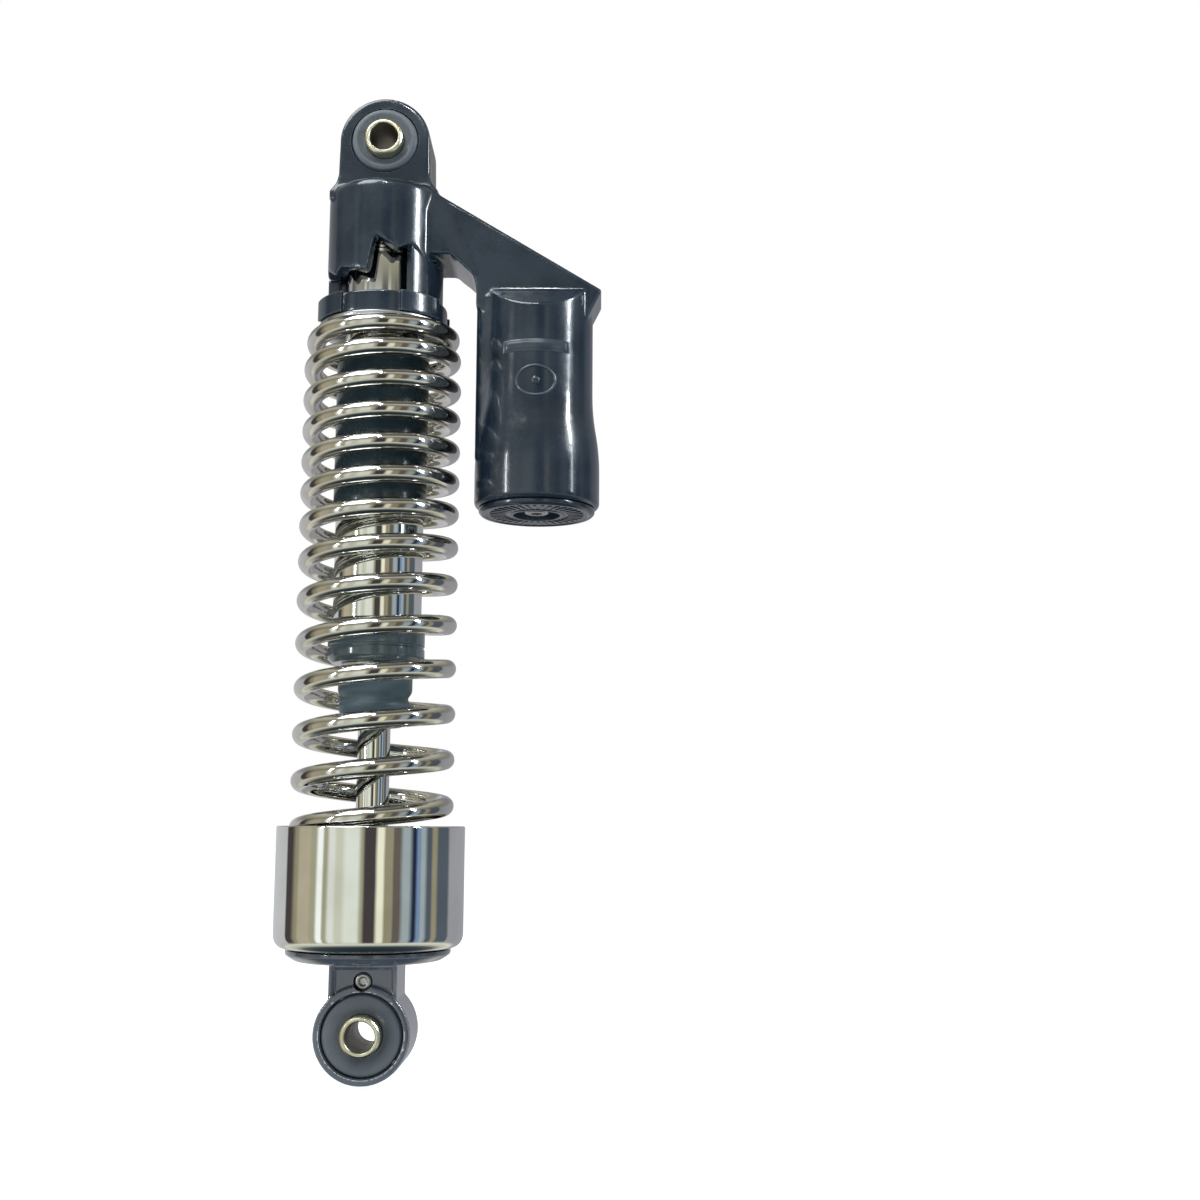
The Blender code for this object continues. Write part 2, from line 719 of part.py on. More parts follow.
def build_lower_eye(stroke_body):
    """The lower casting: boss, neck and eye, and the lock pin in the neck's face."""
    boss_radius = 11.1 * MM
    boss = plug(boss_radius, -312 * MM, BOSS_TOP)
    casting = node("lower_eye", turned(boss, MEDIUM), "eye_paint", stroke_body)
    neck_top = SEAT_BOTTOM - GAP
    neck_outline = [
        (-NECK_HALF_WIDTH, neck_top),
        (-NECK_HALF_WIDTH, -324.5 * MM),
        (-15 * MM, -328 * MM),
        (-12 * MM, -342 * MM),
        (12 * MM, -342 * MM),
        (15 * MM, -328 * MM),
        (NECK_HALF_WIDTH, -324.5 * MM),
        (NECK_HALF_WIDTH, neck_top),
    ]
    neck = add_object("eye_neck", prism(neck_outline, -12 * MM, 12 * MM))
    reach = LOWER_EYE_HALF_DEPTH
    eye_place = (0, 0, -EYE_TO_EYE)
    barrel = along_y(turned(plug(LOWER_EYE_RADIUS, -reach, reach), FINE))
    ring_item = add_object("eye_barrel", barrel, eye_place)
    reach += 4 * MM
    bore = along_y(turned(plug(LOWER_EYE_BORE, -reach, reach), FINE))
    bore_item = add_object("eye_bore", bore, eye_place)
    rod_hole = plug(ROD_RADIUS + GAP, ROD_FOOT - 0.5 * MM, BOSS_TOP + 3.3 * MM)
    rod_item = add_object("eye_rod_hole", turned(rod_hole, COARSE))
    pin_radius = 3.15 * MM
    pin_face = -11.2 * MM
    pin_end = -7.3 * MM
    pin_place = (0, 0, PIN_HEIGHT)
    pin_hole = along_y(turned(plug(pin_radius + GAP, -14 * MM, pin_end + GAP), COARSE))
    pin_hole_item = add_object("eye_pin_hole", pin_hole, pin_place)
    for item, operation in (
        (neck, "UNION"),
        (ring_item, "UNION"),
        (rod_item, "DIFFERENCE"),
        (pin_hole_item, "DIFFERENCE"),
        (bore_item, "DIFFERENCE"),
    ):
        hold(item, stroke_body)
        combine(casting, item, operation)
    pin = along_y(turned(plug(pin_radius, pin_face, pin_end), COARSE))
    node("lock_pin", pin, "steel", stroke_body, pin_place)


def build_reservoir(float_body):
    """What the reservoir holds: the floating piston, the end cap and the filler screw."""
    place = (CANISTER_X, 0, 0)
    radius = CANISTER_BORE - GAP
    top = FLOATING_TOP
    groove_radius = 16.2 * MM
    floating = [
        (0, top - 6 * MM),
        (11 * MM, top - 6 * MM),
        (12 * MM, top),
        (radius, top),
        (radius, top - 5 * MM),
        (groove_radius, top - 5 * MM),
        (groove_radius, top - 8 * MM),
        (radius, top - 8 * MM),
        (radius, top - 13 * MM),
        (0, top - 13 * MM),
    ]
    node("floating_piston", turned(floating, MEDIUM), "aluminium", float_body, place)
    seal = ring(groove_radius + 0.2 * MM, radius + 0.05 * MM, top - 7.7 * MM, top - 5.3 * MM)
    node("floating_seal", turned(seal, MEDIUM), "seal_rubber", float_body, place)
    cap_top = CAP_TOP
    flange_top = CANISTER_FOOT - GAP
    face = CAP_FACE
    recess = 8.85 * MM
    screw_radius = 3.5 * MM
    hole = screw_radius + GAP
    cap = [
        (14 * MM, cap_top),
        (radius, cap_top),
        (radius, cap_top - 4 * MM),
        (groove_radius, cap_top - 4 * MM),
        (groove_radius, cap_top - 7 * MM),
        (radius, cap_top - 7 * MM),
        (radius, flange_top),
        (22 * MM, flange_top),
        (22 * MM, face + 0.8 * MM),
        (21.2 * MM, face),
        (recess, face),
        (recess, face + 3 * MM),
        (hole, face + 3 * MM),
        (hole, cap_top - 8 * MM),
        (14 * MM, cap_top - 8 * MM),
    ]
    node("reservoir_cap", turned(cap, MEDIUM), "gloss_black", place=place)
    seal = ring(groove_radius + 0.2 * MM, radius + 0.05 * MM, cap_top - 6.7 * MM, cap_top - 4.3 * MM)
    node("cap_seal", turned(seal, MEDIUM), "seal_rubber", place=place)
    screw = [
        (0, cap_top - 6 * MM),
        (screw_radius, cap_top - 6 * MM),
        (screw_radius, face + 3 * MM - GAP),
        (4.6 * MM, face + 3 * MM - GAP),
        (4.6 * MM, face + 0.8 * MM),
        (2 * MM, face + 0.8 * MM),
        (2 * MM, face + 2 * MM),
        (0, face + 2 * MM),
    ]
    node("filler_screw", turned(screw, COARSE), "steel", place=place)


def main():
    """Build every piece in its place."""
    clear_scene()
    stroke_body = empty("stroke_body")
    seat_body = empty("seat_body")
    ring_body = empty("ring_body", parent=seat_body)
    float_body = empty("float_body", (CANISTER_X, 0, 0))
    upper_eye = (0, 0, 0)
    lower_eye = (0, 0, -EYE_TO_EYE)
    upper_pivot = empty("upper_pivot", upper_eye)
    lower_pivot = empty("lower_pivot", lower_eye, stroke_body)
    build_top_housing()
    build_eye("upper", upper_eye, LUG_BORE, None, upper_pivot)
    build_adjuster(seat_body, ring_body)
    build_damper()
    build_rod(stroke_body)
    build_spring()
    build_cup(stroke_body)
    build_lower_eye(stroke_body)
    build_eye("lower", lower_eye, LOWER_EYE_BORE, stroke_body, lower_pivot)
    build_reservoir(float_body)


main()
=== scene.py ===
"""A motorcycle rear shock absorber with a side reservoir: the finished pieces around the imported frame.

Metres, +Z up. The frame's origin is the centre of the upper eye and the shock hangs down -Z. Each
sub-assembly is a class that models its pieces with Blender's own operators, gives them a procedural
finish and hands them to the body that they move with. Angles around the shock are measured from the
front (-Y) towards +X.
"""

import logging
import math
from collections.abc import Callable, Sequence
from dataclasses import dataclass, field, replace
from enum import Enum
from typing import Any

import bpy
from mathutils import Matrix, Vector


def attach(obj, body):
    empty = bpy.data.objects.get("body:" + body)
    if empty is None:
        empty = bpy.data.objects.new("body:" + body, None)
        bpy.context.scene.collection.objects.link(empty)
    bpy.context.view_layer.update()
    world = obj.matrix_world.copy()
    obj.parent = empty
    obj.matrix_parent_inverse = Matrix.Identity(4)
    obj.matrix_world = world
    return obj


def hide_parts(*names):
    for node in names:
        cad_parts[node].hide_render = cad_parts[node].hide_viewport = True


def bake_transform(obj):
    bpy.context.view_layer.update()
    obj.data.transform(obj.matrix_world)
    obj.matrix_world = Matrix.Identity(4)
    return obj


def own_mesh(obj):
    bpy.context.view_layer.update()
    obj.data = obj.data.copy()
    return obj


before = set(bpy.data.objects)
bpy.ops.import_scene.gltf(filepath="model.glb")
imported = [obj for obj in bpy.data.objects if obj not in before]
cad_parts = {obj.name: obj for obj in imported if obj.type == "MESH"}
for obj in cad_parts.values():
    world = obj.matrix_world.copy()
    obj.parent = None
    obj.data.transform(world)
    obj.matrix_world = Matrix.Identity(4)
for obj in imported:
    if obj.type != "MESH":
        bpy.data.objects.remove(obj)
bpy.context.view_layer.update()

log = logging.getLogger("shock")

MM = 0.001
POLE = 0.002 * MM
MERGE = 0.01 * MM
HALF_TURN = 180
# Pointiness range over which the painted edge highlight comes in.
EDGE_HIGHLIGHT_BEND = (0.515, 0.58)
COAT_ROUGHNESS = 0.04

Point = tuple[float, float]
Corner = tuple[float, float, float]


class Body(Enum):
    """The bodies that pieces ride on."""

    HOUSING = "housing"
    UPPER_SLEEVE = "upper_sleeve_body"
    SEAT = "spring_seat"
    ADJUSTER = "adjuster"
    LOWER = "lower_assembly"
    LOWER_SLEEVE = "lower_sleeve_body"


# ---------------------------------------------------------------------------------------------
# Shader expressions
# ---------------------------------------------------------------------------------------------


class Signal:
    """A shader socket that can be used in arithmetic."""

    def __init__(self, recipe: "Recipe", socket: bpy.types.NodeSocket) -> None:
        """Wrap a socket of a recipe's tree."""
        self.recipe = recipe
        self.socket = socket

    def _math(self, operation: str, one: Any, two: Any) -> "Signal":
        """Add a Math node for two operands."""
        return self.recipe.add("ShaderNodeMath", {"operation": operation}, {0: one, 1: two})

    def __add__(self, other: Any) -> "Signal":
        """Sum."""
        return self._math("ADD", self, other)

    def __radd__(self, other: Any) -> "Signal":
        """Reflected sum."""
        return self._math("ADD", other, self)

    def __sub__(self, other: Any) -> "Signal":
        """Difference."""
        return self._math("SUBTRACT", self, other)

    def __rsub__(self, other: Any) -> "Signal":
        """Reflected difference."""
        return self._math("SUBTRACT", other, self)

    def __mul__(self, other: Any) -> "Signal":
        """Product."""
        return self._math("MULTIPLY", self, other)

    def __rmul__(self, other: Any) -> "Signal":
        """Reflected product."""
        return self._math("MULTIPLY", other, self)

    def __truediv__(self, other: Any) -> "Signal":
        """Quotient."""
        return self._math("DIVIDE", self, other)

    def between(self, low: float, high: float) -> "Signal":
        """Spread a range of values over nought to one, eased and clamped.

        Args:
            low: The value that becomes nought.
            high: The value that becomes one.

        Returns:
            The spread signal.
        """
        return self.recipe.add(
            "ShaderNodeMapRange",
            {"interpolation_type": "SMOOTHSTEP"},
            {"Value": self, "From Min": low, "From Max": high},
        )


class Recipe:
    """A node tree under construction, for a material or for the world."""

    def __init__(self, tree: bpy.types.NodeTree) -> None:
        """Start from an existing tree."""
        self.tree = tree

    def add(
        self,
        kind: str,
        settings: dict[str, Any] | None = None,
        sockets: dict[Any, Any] | None = None,
        out: Any = 0,
    ) -> Signal:
        """Add one node: its settings first, then the values or links of its sockets.

        Args:
            kind: The node's type.
            settings: Attributes of the node; "stops" holds a ramp's (position, colour) pairs.
            sockets: Values or signals by socket name or number.
            out: The output that is wanted.

        Returns:
            The wanted output.
        """
        node = self.tree.nodes.new(kind)
        for key, value in (settings or {}).items():
            if key == "stops":
                self._set_stops(node.color_ramp, value)
            else:
                setattr(node, key, value)
        for key, value in (sockets or {}).items():
            if isinstance(value, Signal):
                self.tree.links.new(value.socket, node.inputs[key])
            else:
                node.inputs[key].default_value = value
        return Signal(self, node.outputs[out])

    @staticmethod
    def _set_stops(ramp: bpy.types.ColorRamp, stops: Sequence[tuple[float, Sequence[float]]]) -> None:
        """Give a ramp its stops."""
        while len(ramp.elements) > 1:
            ramp.elements.remove(ramp.elements[-1])
        ramp.elements[0].position = stops[0][0]
        ramp.elements[0].color = (*stops[0][1], 1.0)
        for place, colour in stops[1:]:
            ramp.elements.new(place).color = (*colour, 1.0)

    def noise(self, scale: float, detail: float) -> Signal:
        """Noise fixed to the piece.

        Args:
            scale: Waves per metre.
            detail: Octaves.

        Returns:
            The noise, about nought to one.
        """
        place = self.add("ShaderNodeTexCoord", out="Object")
        return self.add("ShaderNodeTexNoise", {}, {"Vector": place, "Scale": scale, "Detail": detail})

    def mix(self, share: Any, one: Signal | Sequence[float], two: Signal | Sequence[float]) -> Signal:
        """Blend two colours.

        Args:
            share: How much of the second colour.
            one: The first colour.
            two: The second colour.

        Returns:
            The blended colour.
        """
        one, two = (colour if isinstance(colour, Signal) else (*colour, 1.0) for colour in (one, two))
        return self.add("ShaderNodeMix", {"data_type": "RGBA"}, {"Factor": share, 6: one, 7: two}, out=2)


@dataclass(frozen=True)
class Finish:
    """A surface finish: its mean look and how it varies over the surface.

    Patches blend the two colours, grain and waves raise the surface, specks are settled dust, and the
    edge is a painted highlight: a lighter colour blended over the convex edges of a casting.
    """

    name: str
    slot: str
    colour: tuple[float, float, float]
    second: tuple[float, float, float]
    roughness: float
    roughness_spread: float = 0.0
    metallic: float = 0.0
    coat: float = 0.0
    patch_scale: float = 60.0
    grain_scale: float = 900.0
    grain_depth: float = 0.0
    wave_scale: float = 120.0
    wave_depth: float = 0.0
    speck: float = 0.0
    speck_colour: tuple[float, float, float] = (0.3, 0.3, 0.3)
    # edge and its colour lay a painted highlight: a lighter colour over convex edges.
    edge: float = 0.0
    edge_highlight_colour: tuple[float, float, float] = (0.1, 0.12, 0.15)

    def build(self) -> bpy.types.Material:
        """Make the material.

        Returns:
            A node material with this finish.
        """
        material = bpy.data.materials.new(self.name)
        material.use_nodes = True
        recipe = Recipe(material.node_tree)
        shader = material.node_tree.nodes["Principled BSDF"]
        patches = recipe.noise(self.patch_scale, 4.0).between(0.35, 0.65)
        colour = recipe.mix(patches, self.colour, self.second)
        grain = recipe.noise(self.grain_scale, 2.0)
        rough = self.roughness + (patches - 0.5) * self.roughness_spread
        if self.speck:
            dust = recipe.noise(self.grain_scale * 1.7, 1.0).between(0.68, 0.74) * self.speck
            colour = recipe.mix(dust, colour, self.speck_colour)
            rough = rough + dust * 0.4
        # Painted highlight: convex edges, found by pointiness, are blended towards the lighter edge colour.
        if self.edge:
            highlight_mask = recipe.add("ShaderNodeNewGeometry", out="Pointiness").between(*EDGE_HIGHLIGHT_BEND)
            colour = recipe.mix(highlight_mask * self.edge, colour, self.edge_highlight_colour)
        links = material.node_tree.links
        links.new(colour.socket, shader.inputs["Base Color"])
        links.new((rough + (grain - 0.5) * self.roughness_spread).socket, shader.inputs["Roughness"])
        shader.inputs["Metallic"].default_value = self.metallic
        shader.inputs["Coat Weight"].default_value = self.coat
        shader.inputs["Coat Roughness"].default_value = COAT_ROUGHNESS
        height = grain * self.grain_depth + recipe.noise(self.wave_scale, 1.0) * self.wave_depth
        bump = recipe.add("ShaderNodeBump", {}, {"Height": height, "Strength": 1.0, "Distance": 1.0})
        links.new(bump.socket, shader.inputs["Normal"])
        return material


# Its edge setting paints a highlight over the casting's convex edges.
GLOSS_BLACK = Finish(
    "gloss_black_paint", "gloss_black", (0.007, 0.013, 0.022), (0.011, 0.019, 0.030), 0.2, 0.08,
    coat=0.35, grain_scale=1100, grain_depth=0.014 * MM, wave_scale=170, wave_depth=0.09 * MM,
    speck=0.05, edge=0.8,
)
CAP_PAINT = replace(GLOSS_BLACK, name="end_cap_paint", edge=0.0)
CHROME = Finish(
    "polished_chrome", "chrome", (0.81, 0.82, 0.80), (0.75, 0.76, 0.73), 0.035, 0.02, metallic=1.0,
    grain_scale=700, grain_depth=0.001 * MM, wave_scale=38, wave_depth=0.11 * MM,
)
SPRING_CHROME = Finish(
    "spring_chrome", "chrome", (0.72, 0.71, 0.68), (0.60, 0.59, 0.55), 0.07, 0.05, metallic=1.0,
    grain_scale=900, grain_depth=0.002 * MM, wave_scale=260, wave_depth=0.03 * MM,
)
BLACK_SLEEVE = Finish(
    "dark_guide_sleeve", "black_sleeve", (0.016, 0.03, 0.038), (0.026, 0.044, 0.052), 0.24, 0.08,
    coat=0.3, grain_depth=0.006 * MM, wave_depth=0.03 * MM, speck=0.08,
)
NAVY_BLACK = Finish(
    "navy_black_paint", "navy_black", (0.044, 0.066, 0.076), (0.06, 0.086, 0.096), 0.24, 0.1,
    coat=0.8, grain_depth=0.008 * MM, wave_depth=0.06 * MM, speck=0.05,
)
BUMP_RUBBER = Finish(
    "bump_stop_rubber", "bump_rubber", (0.05, 0.086, 0.102), (0.066, 0.104, 0.122), 0.38, 0.12,
    grain_depth=0.02 * MM, wave_depth=0.05 * MM, speck=0.06,
)
RUBBER = Finish(
    "bush_rubber", "rubber", (0.060, 0.072, 0.088), (0.084, 0.096, 0.112), 0.48, 0.14,
    grain_scale=1500, grain_depth=0.02 * MM, wave_depth=0.05 * MM, speck=0.1,
)
# Its edge setting and pale edge colour paint highlights over the eye casting's rims.
EYE_PAINT = Finish(
    "eye_casting_paint", "eye_paint", (0.052, 0.062, 0.084), (0.072, 0.082, 0.108), 0.17, 0.08,
    metallic=0.3, coat=1.0, grain_scale=800, grain_depth=0.012 * MM, wave_scale=240,
    wave_depth=0.12 * MM, speck=0.06, edge=0.9, edge_highlight_colour=(0.42, 0.45, 0.5),
)
SEAT_PAINT = replace(EYE_PAINT, name="seat_paint", edge=0.0)
# Painted shade: a dark finish for the sleeves' bores, so they read as shaded inside.
BORE_SHADE = Finish(
    "painted_bore_shade", "zinc", (0.23, 0.21, 0.16), (0.15, 0.135, 0.10), 0.42, 0.14, metallic=0.9,
    grain_scale=1400, grain_depth=0.004 * MM,
)
ZINC = Finish(
    "zinc_sleeve", "zinc", (0.80, 0.78, 0.62), (0.68, 0.64, 0.48), 0.3, 0.1, metallic=1.0,
    grain_scale=1400, grain_depth=0.002 * MM,
)
STEEL = Finish(
    "machined_steel", "steel", (0.60, 0.61, 0.62), (0.46, 0.46, 0.47), 0.28, 0.12, metallic=1.0,
    grain_depth=0.006 * MM,
)
ALUMINIUM = Finish(
    "turned_aluminium", "aluminium", (0.74, 0.75, 0.76), (0.64, 0.65, 0.67), 0.34, 0.12,
    metallic=1.0, grain_depth=0.006 * MM,
)
SEAL_RUBBER = Finish(
    "seal_rubber", "seal_rubber", (0.016, 0.016, 0.018), (0.028, 0.028, 0.03), 0.5, 0.12,
    grain_depth=0.02 * MM,
)


class FinishShelf:
    """Builds each finish once and hands it out."""

    def __init__(self) -> None:
        """Start with an empty shelf."""
        self.made: dict[str, bpy.types.Material] = {}

    def get(self, finish: Finish) -> bpy.types.Material:
        """The material of a finish."""
        if finish.name not in self.made:
            self.made[finish.name] = finish.build()
        return self.made[finish.name]


SHELF = FinishShelf()


# ---------------------------------------------------------------------------------------------
# Bench tools
# ---------------------------------------------------------------------------------------------


def deselect() -> None:
    """Leave edit mode and deselect everything."""
    if bpy.context.object and bpy.context.object.mode != "OBJECT":
        bpy.ops.object.mode_set(mode="OBJECT")
    bpy.ops.object.select_all(action="DESELECT")


def activate(item: bpy.types.Object) -> None:
    """Select one object only and make it the active one."""
    deselect()
    item.select_set(True)
    bpy.context.view_layer.objects.active = item


def settle(item: bpy.types.Object) -> None:
    """Move an object's place into its mesh."""
    activate(item)
    bpy.ops.object.transform_apply(location=True, rotation=True, scale=True)


def smooth(item: bpy.types.Object, degrees: float = 32.0) -> None:
    """Shade an object smooth except at sharp edges."""
    activate(item)
    bpy.ops.object.shade_smooth_by_angle(angle=math.radians(degrees))


def apply_modifier(item: bpy.types.Object, kind: str, **settings: Any) -> None:
    """Add a modifier, set it and apply it.

    Args:
        item: The object to work on.
        kind: The modifier's type.
        settings: Its attributes.
    """
    activate(item)
    modifier = item.modifiers.new(kind.lower(), kind)
    for key, value in settings.items():
        setattr(modifier, key, value)
    bpy.ops.object.modifier_apply(modifier=modifier.name)


def soften(corners: Sequence[Corner], steps: int = 4) -> list[Point]:
    """Round the corners of an outline.

    Args:
        corners: (radius, height, rounding) of each corner.
        steps: Points along each rounded corner.

    Returns:
        The points of the rounded outline.
    """
    points: list[Point] = []
    count = len(corners)
    for i, (x, z, rounding) in enumerate(corners):
        here = Vector((x, z))
        if rounding <= 0:
            points.append((x, z))
            continue
        before = Vector(corners[i - 1][:2]) - here
        after = Vector(corners[(i + 1) % count][:2]) - here
        one = here + before.normalized() * min(rounding, before.length * 0.45)
        two = here + after.normalized() * min(rounding, after.length * 0.45)
        for step in range(steps + 1):
            t = step / steps
            place = one * (1 - t) ** 2 + here * 2 * t * (1 - t) + two * t**2
            points.append((place.x, place.y))
    return points


def lathe(
    name: str,
    corners: Sequence[Corner],
    sides: int = 96,
    place: Sequence[float] = (0, 0, 0),
    lying: bool = False,
    steps: int = 4,
) -> bpy.types.Object:
    """Turn an outline: a circle is extruded and scaled from corner to corner.

    Args:
        name: The object's name.
        corners: (radius, height, rounding) of each corner. The outline closes on itself unless it
            starts and ends on the axis.
        sides: Vertices around.
        place: Where the outline's zero lies.
        lying: Lay the axis along +Y.
        steps: Points along each rounded corner.

    Returns:
        The turned object, shaded smooth.
    """
    outline = soften(corners, steps)
    solid = corners[0][0] == 0 and corners[-1][0] == 0
    if not solid:
        outline.append(outline[0])
    deselect()
    radius, height = max(outline[0][0], POLE), outline[0][1]
    bpy.ops.mesh.primitive_circle_add(
        vertices=sides, radius=radius, location=(0, 0, height), enter_editmode=True
    )
    for wanted, level in outline[1:]:
        wanted = max(wanted, POLE)
        bpy.ops.mesh.extrude_region_move(TRANSFORM_OT_translate={"value": (0, 0, level - height)})
        scale = wanted / radius
        bpy.ops.transform.resize(value=(scale, scale, 1), center_override=(0, 0, level))
        radius, height = wanted, level
    bpy.ops.mesh.select_all(action="SELECT")
    bpy.ops.mesh.remove_doubles(threshold=MERGE)
    bpy.ops.mesh.normals_make_consistent(inside=False)
    bpy.ops.object.mode_set(mode="OBJECT")
    item = bpy.context.object
    item.name = name
    settle(item)
    if lying:
        item.rotation_euler = (-math.pi / 2, 0, 0)
        settle(item)
    item.location = place
    settle(item)
    smooth(item)
    return item


def slab(name: str, outline: Sequence[Point], low: float, high: float,
         upright: bool = True) -> bpy.types.Object:
    """Extrude a flat outline.

    Args:
        name: The object's name.
        outline: (x, z) points of an upright slab, or (x, y) points of a lying one.
        low: Where the slab starts along the third axis.
        high: Where it ends.
        upright: Extrude along Y rather than Z.

    Returns:
        The slab.
    """
    deselect()
    bpy.ops.mesh.primitive_circle_add(vertices=len(outline), radius=1, fill_type="NGON")
    item = bpy.context.object
    item.name = name
    for vertex, (x, other) in zip(item.data.vertices, outline):
        vertex.co = (x, low, other) if upright else (x, other, low)
    step = (0, high - low, 0) if upright else (0, 0, high - low)
    bpy.ops.object.mode_set(mode="EDIT")
    bpy.ops.mesh.select_all(action="SELECT")
    bpy.ops.mesh.extrude_region_move(TRANSFORM_OT_translate={"value": step})
    bpy.ops.mesh.select_all(action="SELECT")
    bpy.ops.mesh.normals_make_consistent(inside=False)
    bpy.ops.object.mode_set(mode="OBJECT")
    return item


def block(name: str, left: Sequence[Sequence[float]],
          right: Sequence[Sequence[float]]) -> bpy.types.Object:
    """A cube pulled to eight corners.

    Args:
        name: The object's name.
        left: The four corners at low x: front below, front above, back below, back above.
        right: The same at high x.

    Returns:
        The block.
    """
    deselect()
    bpy.ops.mesh.primitive_cube_add(size=2)
    item = bpy.context.object
    item.name = name
    for vertex in item.data.vertices:
        side = right if vertex.co.x > 0 else left
        vertex.co = side[2 * (vertex.co.y > 0) + (vertex.co.z > 0)]
    return item


def join(items: Sequence[bpy.types.Object], name: str) -> bpy.types.Object:
    """Join objects into the first one."""
    activate(items[0])
    for item in items:
        item.select_set(True)
    bpy.ops.object.join()
    items[0].name = name
    return items[0]


def cast(items: Sequence[bpy.types.Object], name: str, voxel: float, passes: int) -> bpy.types.Object:
    """Fuse overlapping shapes into one casting with soft edges and fillets.

    Args:
        items: Closed shapes that overlap.
        name: The casting's name.
        voxel: Size of the fused mesh's cells.
        passes: Smoothing passes, which make the edges' radius.

    Returns:
        The casting.
    """
    item = join(items, name)
    apply_modifier(item, "REMESH", mode="VOXEL", voxel_size=voxel)
    apply_modifier(item, "SMOOTH", factor=0.5, iterations=passes)
    return item


def machine(item: bpy.types.Object, cutters: Sequence[bpy.types.Object]) -> None:
    """Cut shapes out of an object and clear them away."""
    for cutter in cutters:
        apply_modifier(item, "BOOLEAN", operation="DIFFERENCE", solver="MANIFOLD", object=cutter)
        bpy.data.objects.remove(cutter, do_unlink=True)


def bore(name: str, radius: float, low: float, high: float, place: Sequence[float] = (0, 0, 0),
         lying: bool = False, sides: int = 96) -> bpy.types.Object:
    """A plain round plug."""
    corners = [(0, high, 0), (radius, high, 0), (radius, low, 0), (0, low, 0)]
    return lathe(name, corners, sides, place, lying)


def around(radius: float, angle: float, height: float) -> Vector:
    """A point at an angle from the front, counted towards +X."""
    return Vector((radius * math.sin(angle), -radius * math.cos(angle), height))


def finish_piece(item: bpy.types.Object, finish: Finish, body: Body | None, *nodes: str) -> None:
    """Dress a piece, let it ride on its body and let it stand for its CAD nodes.

    Args:
        item: The finished mesh.
        finish: Its finish.
        body: The body that it rides on, or None when the caller settles that.
        nodes: The CAD nodes that it replaces.
    """
    item.data.materials.clear()
    item.data.materials.append(SHELF.get(finish))
    if body:
        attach(item, body.value)
    if nodes:
        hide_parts(*nodes)
    log.info("%s: %d faces, for %s", item.name, len(item.data.polygons), ", ".join(nodes))


# ---------------------------------------------------------------------------------------------
# The preload cam, which the casting and the adjuster ring share
# ---------------------------------------------------------------------------------------------


@dataclass(frozen=True)
class PreloadCam:
    """The stair of five notches in each half turn of the skirt's lower edge."""

    start: float = math.radians(-4.5)
    deepest: float = -41.6 * MM
    step: float = 2.8 * MM
    tip_drop: float = 2.4 * MM
    lip: float = -55.4 * MM
    notches: int = 5
    notch: float = math.radians(36)
    slope: float = math.radians(24)
    rise: float = math.radians(6)
    blur: float = math.radians(2.4)

    def sharp(self, angle: float) -> float:
        """Height of the edge before its corners are rounded, at an angle from the deepest notch."""
        angle %= math.pi
        number = min(int(angle / self.notch), self.notches - 1)
        place = angle - number * self.notch
        peak = self.deepest - number * self.step
        last = number == self.notches - 1
        tip = self.lip if last else peak - self.step - self.tip_drop
        if place <= self.slope:
            return peak + (tip - peak) * place / self.slope
        if not last:
            return tip + (peak - self.step - tip) * (place - self.slope) / (self.notch - self.slope)
        if place <= self.notch - self.rise:
            return self.lip
        return self.lip + (self.deepest - self.lip) * (place - self.notch + self.rise) / self.rise

    def height(self, angle: float) -> float:
        """Height of the rounded edge at an angle around the shock."""
        samples = 7
        spread = [self.blur * (2 * i / (samples - 1) - 1) for i in range(samples)]
        return sum(self.sharp(angle - self.start + offset) for offset in spread) / samples


CAM = PreloadCam()


# ---------------------------------------------------------------------------------------------
# Sub-assemblies
# ---------------------------------------------------------------------------------------------


